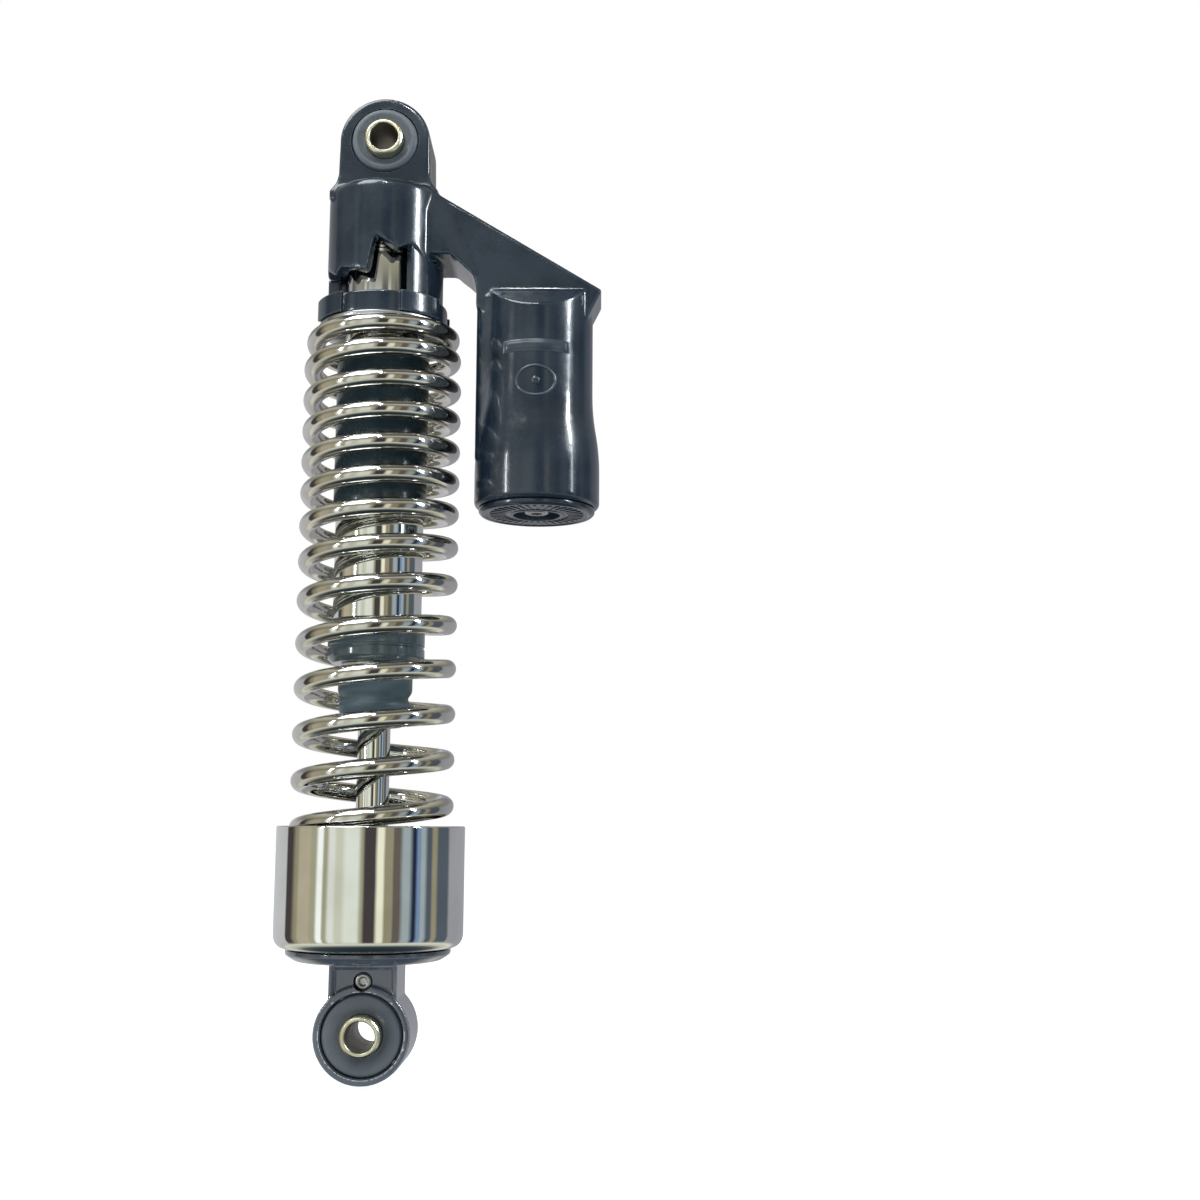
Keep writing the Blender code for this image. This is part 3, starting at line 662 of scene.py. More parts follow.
@dataclass
class UpperCasting:
    """The casting with the upper lug, the skirt, the arm and the reservoir's body."""

    lug_radius: float = 17.3 * MM
    lug_half_depth: float = 12 * MM
    lug_bore: float = 13.1 * MM
    skirt_radius: float = 22.25 * MM
    skirt_bore: float = 17.6 * MM
    skirt_roof: float = -31 * MM
    arm_half_depth: float = 10.8 * MM
    tip: Point = (84 * MM, -59.3 * MM)
    reservoir_x: float = 59.5 * MM
    reservoir_radius: float = 21 * MM
    foot_radius: float = 23.75 * MM
    flare_top: float = -105.7 * MM
    flare_end: float = -121.3 * MM
    foot: float = -142.6 * MM
    bore_radius: float = 18.5 * MM
    plate_height: float = -84.5 * MM
    oval_height: float = -98 * MM
    voxel: float = 0.55 * MM
    smoothing: int = 9
    parts: list[bpy.types.Object] = field(default_factory=list)

    def lug(self) -> None:
        """The flat lug with its round top and its flared foot."""
        deselect()
        bpy.ops.mesh.primitive_cylinder_add(
            vertices=128, radius=self.lug_radius, depth=2 * self.lug_half_depth, rotation=(math.pi / 2, 0, 0)
        )
        head = bpy.context.object
        settle(head)
        wide = self.lug_radius
        outline = [
            (-wide, 0),
            (-wide - 0.3 * MM, -14 * MM),
            (-wide - 1.2 * MM, -17.2 * MM),
            (-wide - 3.6 * MM, -20 * MM),
            (-wide - 3.6 * MM, -24 * MM),
            (wide + 3.6 * MM, -24 * MM),
            (wide + 3.6 * MM, -20 * MM),
            (wide + 1.2 * MM, -17.2 * MM),
            (wide + 0.3 * MM, -14 * MM),
            (wide, 0),
        ]
        self.parts += [head, slab("lug_foot", outline, -self.lug_half_depth, self.lug_half_depth)]

    def skirt(self) -> None:
        """The skirt, whose lower edge is pulled to the preload cam."""
        edge = -50 * MM
        corners = [
            (0, -18.6 * MM, 0),
            (self.skirt_radius - 1.6 * MM, -18.6 * MM, 1.2 * MM),
            (self.skirt_radius, -20.8 * MM, 1.2 * MM),
            (self.skirt_radius, edge, 0),
            (self.skirt_bore - 1 * MM, edge, 0),
            (self.skirt_bore - 1 * MM, self.skirt_roof - 1 * MM, 0),
            (0, self.skirt_roof - 1 * MM, 0),
        ]
        item = lathe("skirt", corners, 360)
        for vertex in item.data.vertices:
            if abs(vertex.co.z - edge) < 0.1 * MM:
                vertex.co.z = CAM.height(math.atan2(vertex.co.x, -vertex.co.y))
        self.parts.append(item)

    def arm(self) -> None:
        """The arm with the arch under it, and its thicker root against the skirt."""
        arch_centre = (22 * MM, -60 * MM)
        arch_reach = (14 * MM, 14.7 * MM)
        steps = 14
        arch = []
        for i in range(steps + 1):
            angle = math.pi / 2 * i / steps
            x = arch_centre[0] + arch_reach[0] * math.cos(angle)
            arch.append((x, arch_centre[1] + arch_reach[1] * math.sin(angle)))
        outline = [
            (10 * MM, -19.8 * MM),
            (18.9 * MM, -19.8 * MM),
            self.tip,
            (80 * MM, -67.4 * MM),
            (79 * MM, -70 * MM),
            (42 * MM, -70 * MM),
            (36 * MM, -66 * MM),
            *arch,
            (12 * MM, -45.3 * MM),
        ]
        self.parts.append(slab("arm", outline, -self.arm_half_depth, self.arm_half_depth))
        face = self.arm_half_depth
        thick = 14.2 * MM
        near = self._section(14 * MM, -46 * MM, -22 * MM, thick, thick)
        middle = [
            (26.5 * MM, 0.6 * MM - thick, -46.2 * MM),
            (23.2 * MM, -face, -22.6 * MM),
            (26.5 * MM, thick - 0.6 * MM, -46.2 * MM),
            (23.2 * MM, face, -22.6 * MM),
        ]
        far = [
            (35.2 * MM, -face - 0.5 * MM, -54 * MM),
            (30.5 * MM, -face, -38 * MM),
            (35.2 * MM, face + 0.5 * MM, -54 * MM),
            (30.5 * MM, face, -38 * MM),
        ]
        self.parts += [block("arm_root", near, middle), block("arm_web", middle, far)]

    @staticmethod
    def _section(x: float, low: float, high: float, low_depth: float, high_depth: float) -> list[tuple]:
        """Four corners of an upright section of the arm's root."""
        return [(x, -low_depth, low), (x, -high_depth, high), (x, low_depth, low), (x, high_depth, high)]

    def reservoir(self) -> None:
        """The reservoir's body, gabled on top, with its flare and the flat rib on the spring side."""
        top = -59.3 * MM
        wide = self.foot_radius
        corners = [
            (0, top, 0),
            (self.reservoir_radius, top, 0),
            (self.reservoir_radius, self.flare_top, 8 * MM),
            (wide, self.flare_end, 8 * MM),
            (wide, self.foot + 1.2 * MM, 0.6 * MM),
            (wide - 1.2 * MM, self.foot, 0.6 * MM),
            (0, self.foot, 0),
        ]
        item = lathe("reservoir", corners, 160, (self.reservoir_x, 0, 0))
        activate(item)
        bpy.ops.object.mode_set(mode="EDIT")
        for side in (-1, 1):
            bpy.ops.mesh.select_all(action="SELECT")
            bpy.ops.mesh.bisect(
                plane_co=(0, side * (self.arm_half_depth - 0.2 * MM), top),
                plane_no=(0, side * 0.652, 0.758),
                use_fill=True,
                clear_outer=True,
            )
        bpy.ops.object.mode_set(mode="OBJECT")
        spring_side = self.reservoir_x - self.foot_radius + 0.5 * MM
        rib = [
            (spring_side, -8 * MM),
            (spring_side + 1.5 * MM, -10 * MM),
            (spring_side + 10 * MM, -14.5 * MM),
            (spring_side + 10 * MM, 14.5 * MM),
            (spring_side + 1.5 * MM, 10 * MM),
            (spring_side, 8 * MM),
        ]
        self.parts += [item, slab("rib", rib, self.flare_end - 4 * MM, -62 * MM, upright=False)]

    def relief(self) -> list[bpy.types.Object]:
        """Plain raised marks on the reservoir's front: an oval ring, a blank plate and a pip.

        Returns:
            The marks, which stand in the casting's skin.
        """
        deselect()
        bpy.ops.mesh.primitive_torus_add(
            major_segments=96, minor_segments=12, major_radius=7 * MM, minor_radius=0.6 * MM,
            rotation=(math.pi / 2, 0, 0),
        )
        oval = bpy.context.object
        oval.scale = (1.05, 1, 1)
        settle(oval)
        oval.scale = (1, 1, 0.8)
        oval.location = (self.reservoir_x, 0, self.oval_height)
        settle(oval)
        marks = [oval]
        strips = 40
        for width, tall, proud in ((25 * MM, 4.6 * MM, 0.25 * MM), (22.6 * MM, 2.6 * MM, 0.5 * MM)):
            edges = [width * (i / strips - 0.5) + self.reservoir_x for i in range(strips + 1)]
            low, high = self.plate_height - tall / 2, self.plate_height + tall / 2
            outline = [(x, low) for x in edges] + [(x, high) for x in reversed(edges)]
            plate = slab("plate", outline, -proud, 1 * MM)
            apply_modifier(plate, "BEVEL", width=0.18 * MM, segments=2, limit_method="ANGLE")
            marks.append(plate)
        deselect()
        bpy.ops.mesh.primitive_uv_sphere_add(segments=24, ring_count=12, radius=1.6 * MM)
        pip = bpy.context.object
        pip.scale = (1, 0.5, 1)
        pip.location = (self.reservoir_x, 0, self.oval_height)
        settle(pip)
        marks.append(pip)
        sunk = 0.1 * MM
        for mark in marks:
            for vertex in mark.data.vertices:
                across = vertex.co.x - self.reservoir_x
                vertex.co.y -= math.sqrt(self.reservoir_radius**2 - across**2) - sunk
        return marks

    def build(self) -> None:
        """Fuse the shapes, cut the machined bores and dress the casting."""
        self.lug()
        self.skirt()
        self.arm()
        self.reservoir()
        casting = cast(self.parts, "housing_casting", self.voxel, self.smoothing)
        reach = self.lug_half_depth + 4 * MM
        place = (self.reservoir_x, 0, 0)
        reservoir_bore = [
            (0, -66 * MM, 0),
            (self.bore_radius - 4 * MM, -72 * MM, 0),
            (self.bore_radius, -76 * MM, 0),
            (self.bore_radius, self.foot - 5 * MM, 0),
            (0, self.foot - 5 * MM, 0),
        ]
        machine(
            casting,
            [
                bore("eye_cut", self.lug_bore, -reach, reach, lying=True, sides=128),
                bore("skirt_cut", self.skirt_bore, -62 * MM, self.skirt_roof, sides=144),
                bore("socket_cut", 10.3 * MM, -36 * MM, -23.6 * MM),
                lathe("reservoir_cut", reservoir_bore, 128, place),
            ],
        )
        join([casting, *self.relief()], "housing_casting")
        smooth(casting, 40)
        finish_piece(casting, GLOSS_BLACK, Body.HOUSING, "top_housing")


@dataclass
class Eye:
    """A rubber bush and the steel sleeve through it."""

    prefix: str
    height: float
    bore_radius: float
    body: Body
    sleeve_body: Body
    domed: bool
    sleeve_radius: float = 7.25 * MM
    sleeve_bore: float = 5.35 * MM
    sleeve_half: float = 16 * MM
    half_depth: float = 12 * MM

    def rubber(self) -> None:
        """The bush, with a rolled outer edge and a valley round the sleeve."""
        outer = self.bore_radius - 0.15 * MM
        inner = self.sleeve_radius + 0.12 * MM
        crown = self.half_depth + (1.2 * MM if self.domed else 0.1 * MM)
        valley = self.half_depth - (0.2 * MM if self.domed else 1.5 * MM)
        half = [
            (outer, self.half_depth - 1.6 * MM, 0.4 * MM),
            (outer - 0.7 * MM, crown - 0.3 * MM, 0.5 * MM),
            (outer - 2.4 * MM, crown, 1.2 * MM),
            (inner + 2.2 * MM, crown - 0.7 * MM, 1.2 * MM),
            (inner + 0.9 * MM, valley, 0.6 * MM),
            (inner, valley - 0.3 * MM, 0.2 * MM),
        ]
        lower = [(radius, -level, rounding) for radius, level, rounding in half]
        corners = [*half, *reversed(lower)]
        item = lathe(self.prefix + "_eye_rubber", corners, 128, (0, 0, self.height), lying=True)
        finish_piece(item, RUBBER, self.body, self.prefix + "_bush")

    def sleeve(self) -> None:
        """The plated steel sleeve with turned ends, its bore faces darkened as painted shade."""
        half = self.sleeve_half
        corners = [
            (self.sleeve_radius - 0.7 * MM, half, 0.15 * MM),
            (self.sleeve_radius, half - 0.6 * MM, 0.2 * MM),
            (self.sleeve_radius, 0.6 * MM - half, 0.2 * MM),
            (self.sleeve_radius - 0.7 * MM, -half, 0.15 * MM),
            (self.sleeve_bore + 0.35 * MM, -half, 0.1 * MM),
            (self.sleeve_bore, 0.4 * MM - half, 0.1 * MM),
            (self.sleeve_bore, half - 0.4 * MM, 0.1 * MM),
            (self.sleeve_bore + 0.35 * MM, half, 0.1 * MM),
        ]
        item = lathe(self.prefix + "_eye_sleeve", corners, 96, (0, 0, self.height), lying=True)
        finish_piece(item, ZINC, self.sleeve_body, self.prefix + "_sleeve")
        # The bore faces take the dark finish: painted shade inside the bore.
        item.data.materials.append(SHELF.get(BORE_SHADE))
        for face in item.data.polygons:
            away = math.hypot(face.center.x, face.center.z - self.height)
            if away < self.sleeve_bore + 0.1 * MM:
                face.material_index = 1

    def build(self) -> None:
        """Model both pieces."""
        self.rubber()
        self.sleeve()


@dataclass
class PreloadAdjuster:
    """The ring that a hook spanner turns, and the washer between it and the spring."""

    top: float = -64.2 * MM
    bottom: float = -72.2 * MM
    ring_bore: float = 15.2 * MM
    radius: float = 24 * MM
    tooth_radius: float = 26 * MM
    tooth_count: int = 4
    tooth: float = math.radians(38)
    lug_start: float = math.radians(38)
    lug_end: float = math.radians(92)
    lug_inner: float = 17.9 * MM
    lug_outer: float = 22.5 * MM
    seat_gap: float = 0.35 * MM
    washer_radius: float = 25 * MM
    washer_bottom: float = -74 * MM

    def sector(self, name: str, start: float, end: float, inner: float, outer: float,
               low: float, top: Callable[[float], float]) -> bpy.types.Object:
        """A curved block between two angles.

        Args:
            name: The object's name.
            start: First angle around the shock.
            end: Last angle.
            inner: Inner radius.
            outer: Outer radius.
            low: Height of its foot.
            top: Height of its top at an angle.

        Returns:
            The block.
        """
        steps = 40
        angles = [start + (end - start) * i / steps for i in range(steps + 1)]
        outer_edge = [around(outer, angle, low) for angle in angles]
        inner_edge = [around(inner, angle, low) for angle in reversed(angles)]
        outline = [(point.x, point.y) for point in (*outer_edge, *inner_edge)]
        item = slab(name, outline, low, 0, upright=False)
        for vertex in item.data.vertices:
            if vertex.co.z > low + 0.1 * MM:
                vertex.co.z = top(math.atan2(vertex.co.x, -vertex.co.y))
        return item

    def ring(self) -> None:
        """The ring with its teeth and its two lugs, which sit in the cam's notches."""
        base = [
            (self.radius, self.top, 0.6 * MM),
            (self.radius, self.bottom, 0.6 * MM),
            (self.ring_bore - 1 * MM, self.bottom, 0),
            (self.ring_bore - 1 * MM, self.top, 0),
        ]
        parts = [lathe("ring_base", base, 240)]
        pitch = math.tau / self.tooth_count
        for i in range(self.tooth_count):
            middle = CAM.start + (i + 0.5) * pitch
            tooth = self.sector(
                "ring_tooth", middle - self.tooth / 2, middle + self.tooth / 2, self.radius - 3 * MM,
                self.tooth_radius, self.bottom, lambda angle: self.top,
            )
            parts.append(tooth)
        for half_turn in (0, math.pi):
            lug = self.sector(
                "ring_lug", CAM.start + self.lug_start + half_turn, CAM.start + self.lug_end + half_turn,
                self.lug_inner, self.lug_outer, self.top - 3 * MM,
                lambda angle: CAM.height(angle) - self.seat_gap,
            )
            parts.append(lug)
        item = cast(parts, "preload_ring", 0.4 * MM, 3)
        machine(item, [bore("ring_cut", self.ring_bore, self.bottom - 4 * MM, self.top + 4 * MM, sides=128)])
        smooth(item, 40)
        finish_piece(item, GLOSS_BLACK, Body.ADJUSTER, "adjuster_ring")

    def washer(self) -> None:
        """The thin seat washer."""
        corners = [
            (self.washer_radius, self.bottom - 0.3 * MM, 0.3 * MM),
            (self.washer_radius, self.washer_bottom, 0.3 * MM),
            (self.ring_bore, self.washer_bottom, 0.1 * MM),
            (self.ring_bore, self.bottom - 0.3 * MM, 0.1 * MM),
        ]
        finish_piece(lathe("seat_washer", corners, 128), STEEL, Body.SEAT, "spring_seat_washer")

    def build(self) -> None:
        """Model both pieces."""
        self.ring()
        self.washer()


@dataclass
class Damper:
    """The tube with its head, dark sleeve, collar and bump stop."""

    head_radius: float = 14.8 * MM
    tube_radius: float = 16.5 * MM
    tube_bore: float = 14.3 * MM
    tube_top: float = -84.3 * MM
    tube_bottom: float = -190 * MM
    sleeve_bottom: float = -147 * MM
    rod_bore: float = 6.3 * MM
    groove_top: float = -40.5 * MM
    groove_pitch: float = 1.5 * MM
    grooves: int = 4

    def head(self) -> None:
        """The bright head, grooved where the cam's deepest notch shows it."""
        top = -31.3 * MM
        corners: list[Corner] = [(10 * MM, top, 0), (self.head_radius, top, 0.4 * MM)]
        for i in range(self.grooves):
            level = self.groove_top - i * self.groove_pitch
            corners += [
                (self.head_radius, level, 0.1 * MM),
                (self.head_radius - 0.45 * MM, level - 0.25 * MM, 0.1 * MM),
                (self.head_radius - 0.45 * MM, level - 0.65 * MM, 0.1 * MM),
                (self.head_radius, level - 0.9 * MM, 0.1 * MM),
            ]
        foot = self.tube_top + 0.2 * MM
        spigot = self.tube_bore - 0.2 * MM
        corners += [
            (self.head_radius, foot, 0.2 * MM),
            (spigot, foot, 0),
            (spigot, -92 * MM, 0.4 * MM),
            (10 * MM, -92 * MM, 0.2 * MM),
            (10 * MM, -40 * MM, 0.4 * MM),
            (3 * MM, -36 * MM, 0.4 * MM),
            (3 * MM, -24 * MM, 0.3 * MM),
            (10 * MM, -24 * MM, 0.4 * MM),
        ]
        finish_piece(lathe("tube_head_turned", corners, 128, steps=2), CHROME, Body.HOUSING, "tube_head")

    def tube(self) -> None:
        """The chromed pressure tube."""
        corners = [
            (self.tube_radius, self.tube_top, 0.4 * MM),
            (self.tube_radius, self.tube_bottom, 0.4 * MM),
            (self.tube_bore, self.tube_bottom, 0.2 * MM),
            (self.tube_bore, self.tube_top, 0.2 * MM),
        ]
        finish_piece(lathe("pressure_tube", corners, 128), CHROME, Body.HOUSING, "damper_tube")

    def sleeve(self) -> None:
        """The dark sleeve on the tube's upper half."""
        outer = self.tube_radius + 1 * MM
        inner = self.tube_radius + 0.25 * MM
        corners = [
            (outer - 0.1 * MM, self.tube_top - 0.5 * MM, 0.2 * MM),
            (outer, self.tube_top - 2 * MM, 0.2 * MM),
            (outer, self.sleeve_bottom + 0.6 * MM, 0.2 * MM),
            (outer - 0.3 * MM, self.sleeve_bottom, 0.2 * MM),
            (inner, self.sleeve_bottom, 0),
            (inner, self.tube_top - 0.5 * MM, 0),
        ]
        finish_piece(lathe("dark_sleeve", corners, 128), BLACK_SLEEVE, Body.HOUSING, "guide_sleeve")

    def collar(self) -> None:
        """The gland collar with its chamfered lower edge."""
        top, bottom = -185.9 * MM, -202 * MM
        inner = self.tube_radius + 0.3 * MM
        corners = [
            (17.3 * MM, top, 0.3 * MM),
            (18 * MM, top - 0.8 * MM, 0.3 * MM),
            (18 * MM, top - 9.4 * MM, 0.15 * MM),
            (17.6 * MM, top - 9.8 * MM, 0.15 * MM),
            (17.6 * MM, top - 10.4 * MM, 0.15 * MM),
            (18 * MM, top - 10.8 * MM, 0.15 * MM),
            (18 * MM, bottom + 2 * MM, 0.5 * MM),
            (16.5 * MM, bottom, 0.5 * MM),
            (8.5 * MM, bottom, 0.3 * MM),
            (8.5 * MM, bottom + 2.5 * MM, 0),
            (13.2 * MM, bottom + 2.5 * MM, 0),
            (13.2 * MM, self.tube_bottom - 0.3 * MM, 0),
            (inner, self.tube_bottom - 0.3 * MM, 0),
            (inner, top, 0),
        ]
        finish_piece(lathe("collar", corners, 128), NAVY_BLACK, Body.HOUSING, "gland_collar")

    def bump_stop(self) -> None:
        """The waisted rubber bump stop on the rod."""
        top, bottom = -204.4 * MM, -225.5 * MM
        middle = (top + bottom) / 2
        corners = [
            (12.9 * MM, top, 0.6 * MM),
            (13.75 * MM, top - 1.4 * MM, 0.8 * MM),
            (13.75 * MM, middle + 2.4 * MM, 1.2 * MM),
            (11.9 * MM, middle, 1.4 * MM),
            (13.6 * MM, middle - 2.4 * MM, 1.2 * MM),
            (13.3 * MM, bottom + 6 * MM, 2.5 * MM),
            (10.4 * MM, bottom, 1.4 * MM),
            (self.rod_bore, bottom, 0.5 * MM),
            (self.rod_bore, top, 0.3 * MM),
        ]
        finish_piece(lathe("bump_rubber", corners, 128), BUMP_RUBBER, Body.HOUSING, "bump_stop")

    def build(self) -> None:
        """Model every piece."""
        self.head()
        self.tube()
        self.sleeve()
        self.collar()
        self.bump_stop()


@dataclass
class Spring:
    """The chromed coil spring, closed and ground at both ends.

    It is wound in two lengths that meet at the split turn.
    """

    wire: float = 7 * MM
    mean_radius: float = 26.4 * MM
    first_turn: float = -0.55
    last_turn: float = 15.95
    split_turn: float = 3.0
    front_height: float = -77.6 * MM
    top: float = -74.3 * MM
    bottom: float = -301.4 * MM
    steps: int = 72
    closing: float = 0.9 * MM
    seam: float = 0.001
    stroke: float = 65 * MM

    def pitch(self, turn: float) -> float:
        """Rise per turn: closed at the ends, fine above and coarse below."""
        closed, fine, coarse = self.wire + 0.35 * MM, 12 * MM, 17 * MM

        def eased(low: float, high: float) -> float:
            share = min(max((turn - low) / (high - low), 0), 1)
            return share * share * (3 - 2 * share)

        pitch = closed + (fine - closed) * eased(0, 1)
        pitch += (coarse - fine) * eased(4.5, 10.5)
        return pitch + (closed - coarse) * eased(14.4, 15)

    def drop(self, start: float, end: float) -> float:
        """How far the wire falls between two turns."""
        steps = max(1, round((end - start) * self.steps))
        step = (end - start) / steps
        return sum(self.pitch(start + (i + 0.5) * step) * step for i in range(steps))

    def path(self, start: float, end: float) -> list[Vector]:
        """The wire's centre line between two turns, right-handed from the top down.

        A point a hair inside each end keeps the end sections square to the wire, so that two
        lengths meet without a wedge between them.

        Args:
            start: The first turn, counted from the uppermost crossing of the front.
            end: The last turn.

        Returns:
            The points of the line.
        """
        count = round((end - start) * self.steps)
        turns = [start + (end - start) * i / count for i in range(count + 1)]
        turns = [start, start + self.seam, *turns[1:-1], end - self.seam, end]
        height = self.front_height - math.copysign(self.drop(min(start, 0), max(start, 0)), start)
        line = []
        for previous, turn in zip([start, *turns], turns):
            height -= self.pitch((previous + turn) / 2) * (turn - previous)
            radius = self.mean_radius - self.closing * min(max(1 - turn, 0), 1)
            line.append(around(radius, -math.tau * turn, height))
        return line

    def wind(self, name: str, points: Sequence[Vector]) -> bpy.types.Object:
        """A round wire along points, closed at both ends."""
        curve = bpy.data.curves.new(name, "CURVE")
        curve.dimensions = "3D"
        curve.bevel_depth = self.wire / 2
        curve.bevel_resolution = 10
        curve.use_fill_caps = True
        spline = curve.splines.new("POLY")
        spline.points.add(len(points) - 1)
        for point, place in zip(spline.points, points):
            point.co = (*place, 1)
        item = bpy.data.objects.new(name, curve)
        bpy.context.scene.collection.objects.link(item)
        activate(item)
        bpy.ops.object.convert(target="MESH")
        item = bpy.context.object
        bpy.ops.object.mode_set(mode="EDIT")
        bpy.ops.mesh.select_all(action="SELECT")
        bpy.ops.mesh.remove_doubles(threshold=MERGE)
        bpy.ops.mesh.normals_make_consistent(inside=False)
        for level, side in ((self.top, 1), (self.bottom, -1)):
            bpy.ops.mesh.select_all(action="SELECT")
            bpy.ops.mesh.bisect(
                plane_co=(0, 0, level), plane_no=(0, 0, side), use_fill=True, clear_outer=True
            )
        bpy.ops.object.mode_set(mode="OBJECT")
        smooth(item, 45)
        return item

    def build(self) -> None:
        """Wind both lengths of the spring."""
        upper = self.path(self.first_turn, self.split_turn)
        lower = self.path(self.split_turn, self.last_turn)
        top_coils = self.wind("spring_top_coils", upper)
        main_coils = self.wind("spring_main_coils", lower)
        for item in (top_coils, main_coils):
            finish_piece(item, SPRING_CHROME, None, "coil_spring")
        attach(main_coils, Body.HOUSING.value)
        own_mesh(main_coils)
        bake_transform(top_coils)


@dataclass
class LowerEnd:
    """The rod, the chromed cup and the lower eye casting."""

    eye_height: float = -335 * MM
    rod_radius: float = 6 * MM
    cup_radius: float = 34.25 * MM
    cup_wall: float = 1.6 * MM
    rim: float = -261.7 * MM
    floor: float = -305.4 * MM
    corner: float = 5 * MM
    hole: float = 11.4 * MM
    seat_bottom: float = -310 * MM
    eye_radius: float = 17.25 * MM
    eye_half_depth: float = 12.5 * MM
    eye_bore: float = 14.65 * MM
    neck_half: float = 12.2 * MM
    pin_height: float = -316.4 * MM
    pin_radius: float = 3.15 * MM

    def rod(self) -> None:
        """The hard-chromed rod with its spigot and its chamfered foot."""
        corners = [
            (0, -152 * MM, 0),
            (4 * MM, -152 * MM, 0.6 * MM),
            (4 * MM, -173.3 * MM, 0),
            (self.rod_radius, -173.3 * MM, 0.5 * MM),
            (self.rod_radius, -315 * MM, 0),
            (self.rod_radius - 1 * MM, -316.5 * MM, 0),
            (0, -316.5 * MM, 0),
        ]
        finish_piece(lathe("rod", corners, 96), CHROME, Body.LOWER, "piston_rod")

    def cup(self) -> None:
        """The deep-drawn cup with its rolled rim."""
        wall, radius = self.cup_wall, self.cup_radius
        floor = self.floor + wall
        corners = [
            (radius, self.rim, 0.7 * MM),
            (radius, self.floor, self.corner * 1.1),
            (self.hole, self.floor, 0.3 * MM),
            (self.hole, floor, 0.3 * MM),
            (radius - wall, floor, (self.corner - wall) * 1.1),
            (radius - wall, self.rim, 0.7 * MM),
        ]
        finish_piece(lathe("chrome_cup", corners, 192, steps=8), CHROME, Body.LOWER, "spring_cup")

    def seat(self) -> None:
        """The dark seat under the cup."""
        top = self.floor - 0.3 * MM
        corners = [
            (29.8 * MM, top, 0.3 * MM),
            (29.8 * MM, top - 1.7 * MM, 0.8 * MM),
            (26.6 * MM, self.seat_bottom + 0.5 * MM, 0.8 * MM),
            (24 * MM, self.seat_bottom, 0.6 * MM),
            (self.hole, self.seat_bottom, 0),
            (self.hole, top, 0),
        ]
        finish_piece(lathe("cup_seat", corners, 160), SEAT_PAINT, Body.LOWER, "lower_seat")

    def casting(self) -> None:
        """The lower casting: boss, neck with its sunk panel, and eye."""
        parts = [bore("boss", 11.1 * MM, -313 * MM, -303.3 * MM)]
        top = self.seat_bottom - 0.3 * MM
        side = self.neck_half
        outline = [
            (-side, top),
            (-side, -323.6 * MM),
            (-side - 2.4 * MM, -326.6 * MM),
            (-12 * MM, -342 * MM),
            (12 * MM, -342 * MM),
            (side + 2.4 * MM, -326.6 * MM),
            (side, -323.6 * MM),
            (side, top),
        ]
        neck = slab("neck", outline, -12 * MM, 12 * MM)
        inset = side - 1.5 * MM
        panel_top, panel_foot = top - 1.3 * MM, -321.4 * MM
        panel = [(-inset, panel_top), (inset, panel_top), (inset, panel_foot), (-inset, panel_foot)]
        machine(neck, [slab("panel_cut", panel, -16 * MM, -11.1 * MM)])
        parts.append(neck)
        half = self.eye_half_depth
        eye = (0, 0, self.eye_height)
        parts.append(bore("barrel", self.eye_radius, -half, half, eye, lying=True, sides=160))
        item = cast(parts, "lower_eye_casting", 0.45 * MM, 4)
        recess = [
            (0, half + 4 * MM, 0),
            (self.eye_bore + 0.5 * MM, half + 4 * MM, 0),
            (self.eye_bore + 0.5 * MM, half - 0.3 * MM, 0.3 * MM),
            (self.eye_bore, half - 0.9 * MM, 0.3 * MM),
            (self.eye_bore, 0.9 * MM - half, 0.3 * MM),
            (self.eye_bore + 0.5 * MM, 0.3 * MM - half, 0.3 * MM),
            (self.eye_bore + 0.5 * MM, -half - 4 * MM, 0),
            (0, -half - 4 * MM, 0),
        ]
        gap = 0.3 * MM
        pin = (0, 0, self.pin_height)
        machine(
            item,
            [
                bore("rod_cut", self.rod_radius + gap, -317 * MM, -298 * MM),
                bore("pin_cut", self.pin_radius + gap, -16 * MM, -7 * MM, pin, lying=True),
                lathe("eye_cut", recess, 128, eye, lying=True),
            ],
        )
        smooth(item, 40)
        finish_piece(item, EYE_PAINT, Body.LOWER, "lower_eye")

    def pin(self) -> None:
        """The lock pin, domed, with a round socket in its face."""
        front = -11.1 * MM
        corners = [
            (0, -7.3 * MM, 0),
            (self.pin_radius, -7.3 * MM, 0),
            (self.pin_radius, front + 0.7 * MM, 0.5 * MM),
            (self.pin_radius * 0.72, front + 0.1 * MM, 0.4 * MM),
            (self.pin_radius * 0.5, front + 0.3 * MM, 0.2 * MM),
            (self.pin_radius * 0.4, front + 1.2 * MM, 0.2 * MM),
            (0, front + 1.2 * MM, 0),
        ]
        item = lathe("neck_pin", corners, 64, (0, 0, self.pin_height), lying=True)
        finish_piece(item, STEEL, Body.LOWER, "lock_pin")

    def pad(self) -> None:
        """The rubber pad that the spring stands on in the cup."""
        floor = self.floor + self.cup_wall + 0.2 * MM
        corners = [
            (28.8 * MM, floor + 1.8 * MM, 0.3 * MM),
            (28.8 * MM, floor, 0.3 * MM),
            (21 * MM, floor, 0.3 * MM),
            (21 * MM, floor + 1.8 * MM, 0.3 * MM),
        ]
        finish_piece(lathe("cup_pad", corners, 96), RUBBER, Body.LOWER, "spring_pad")

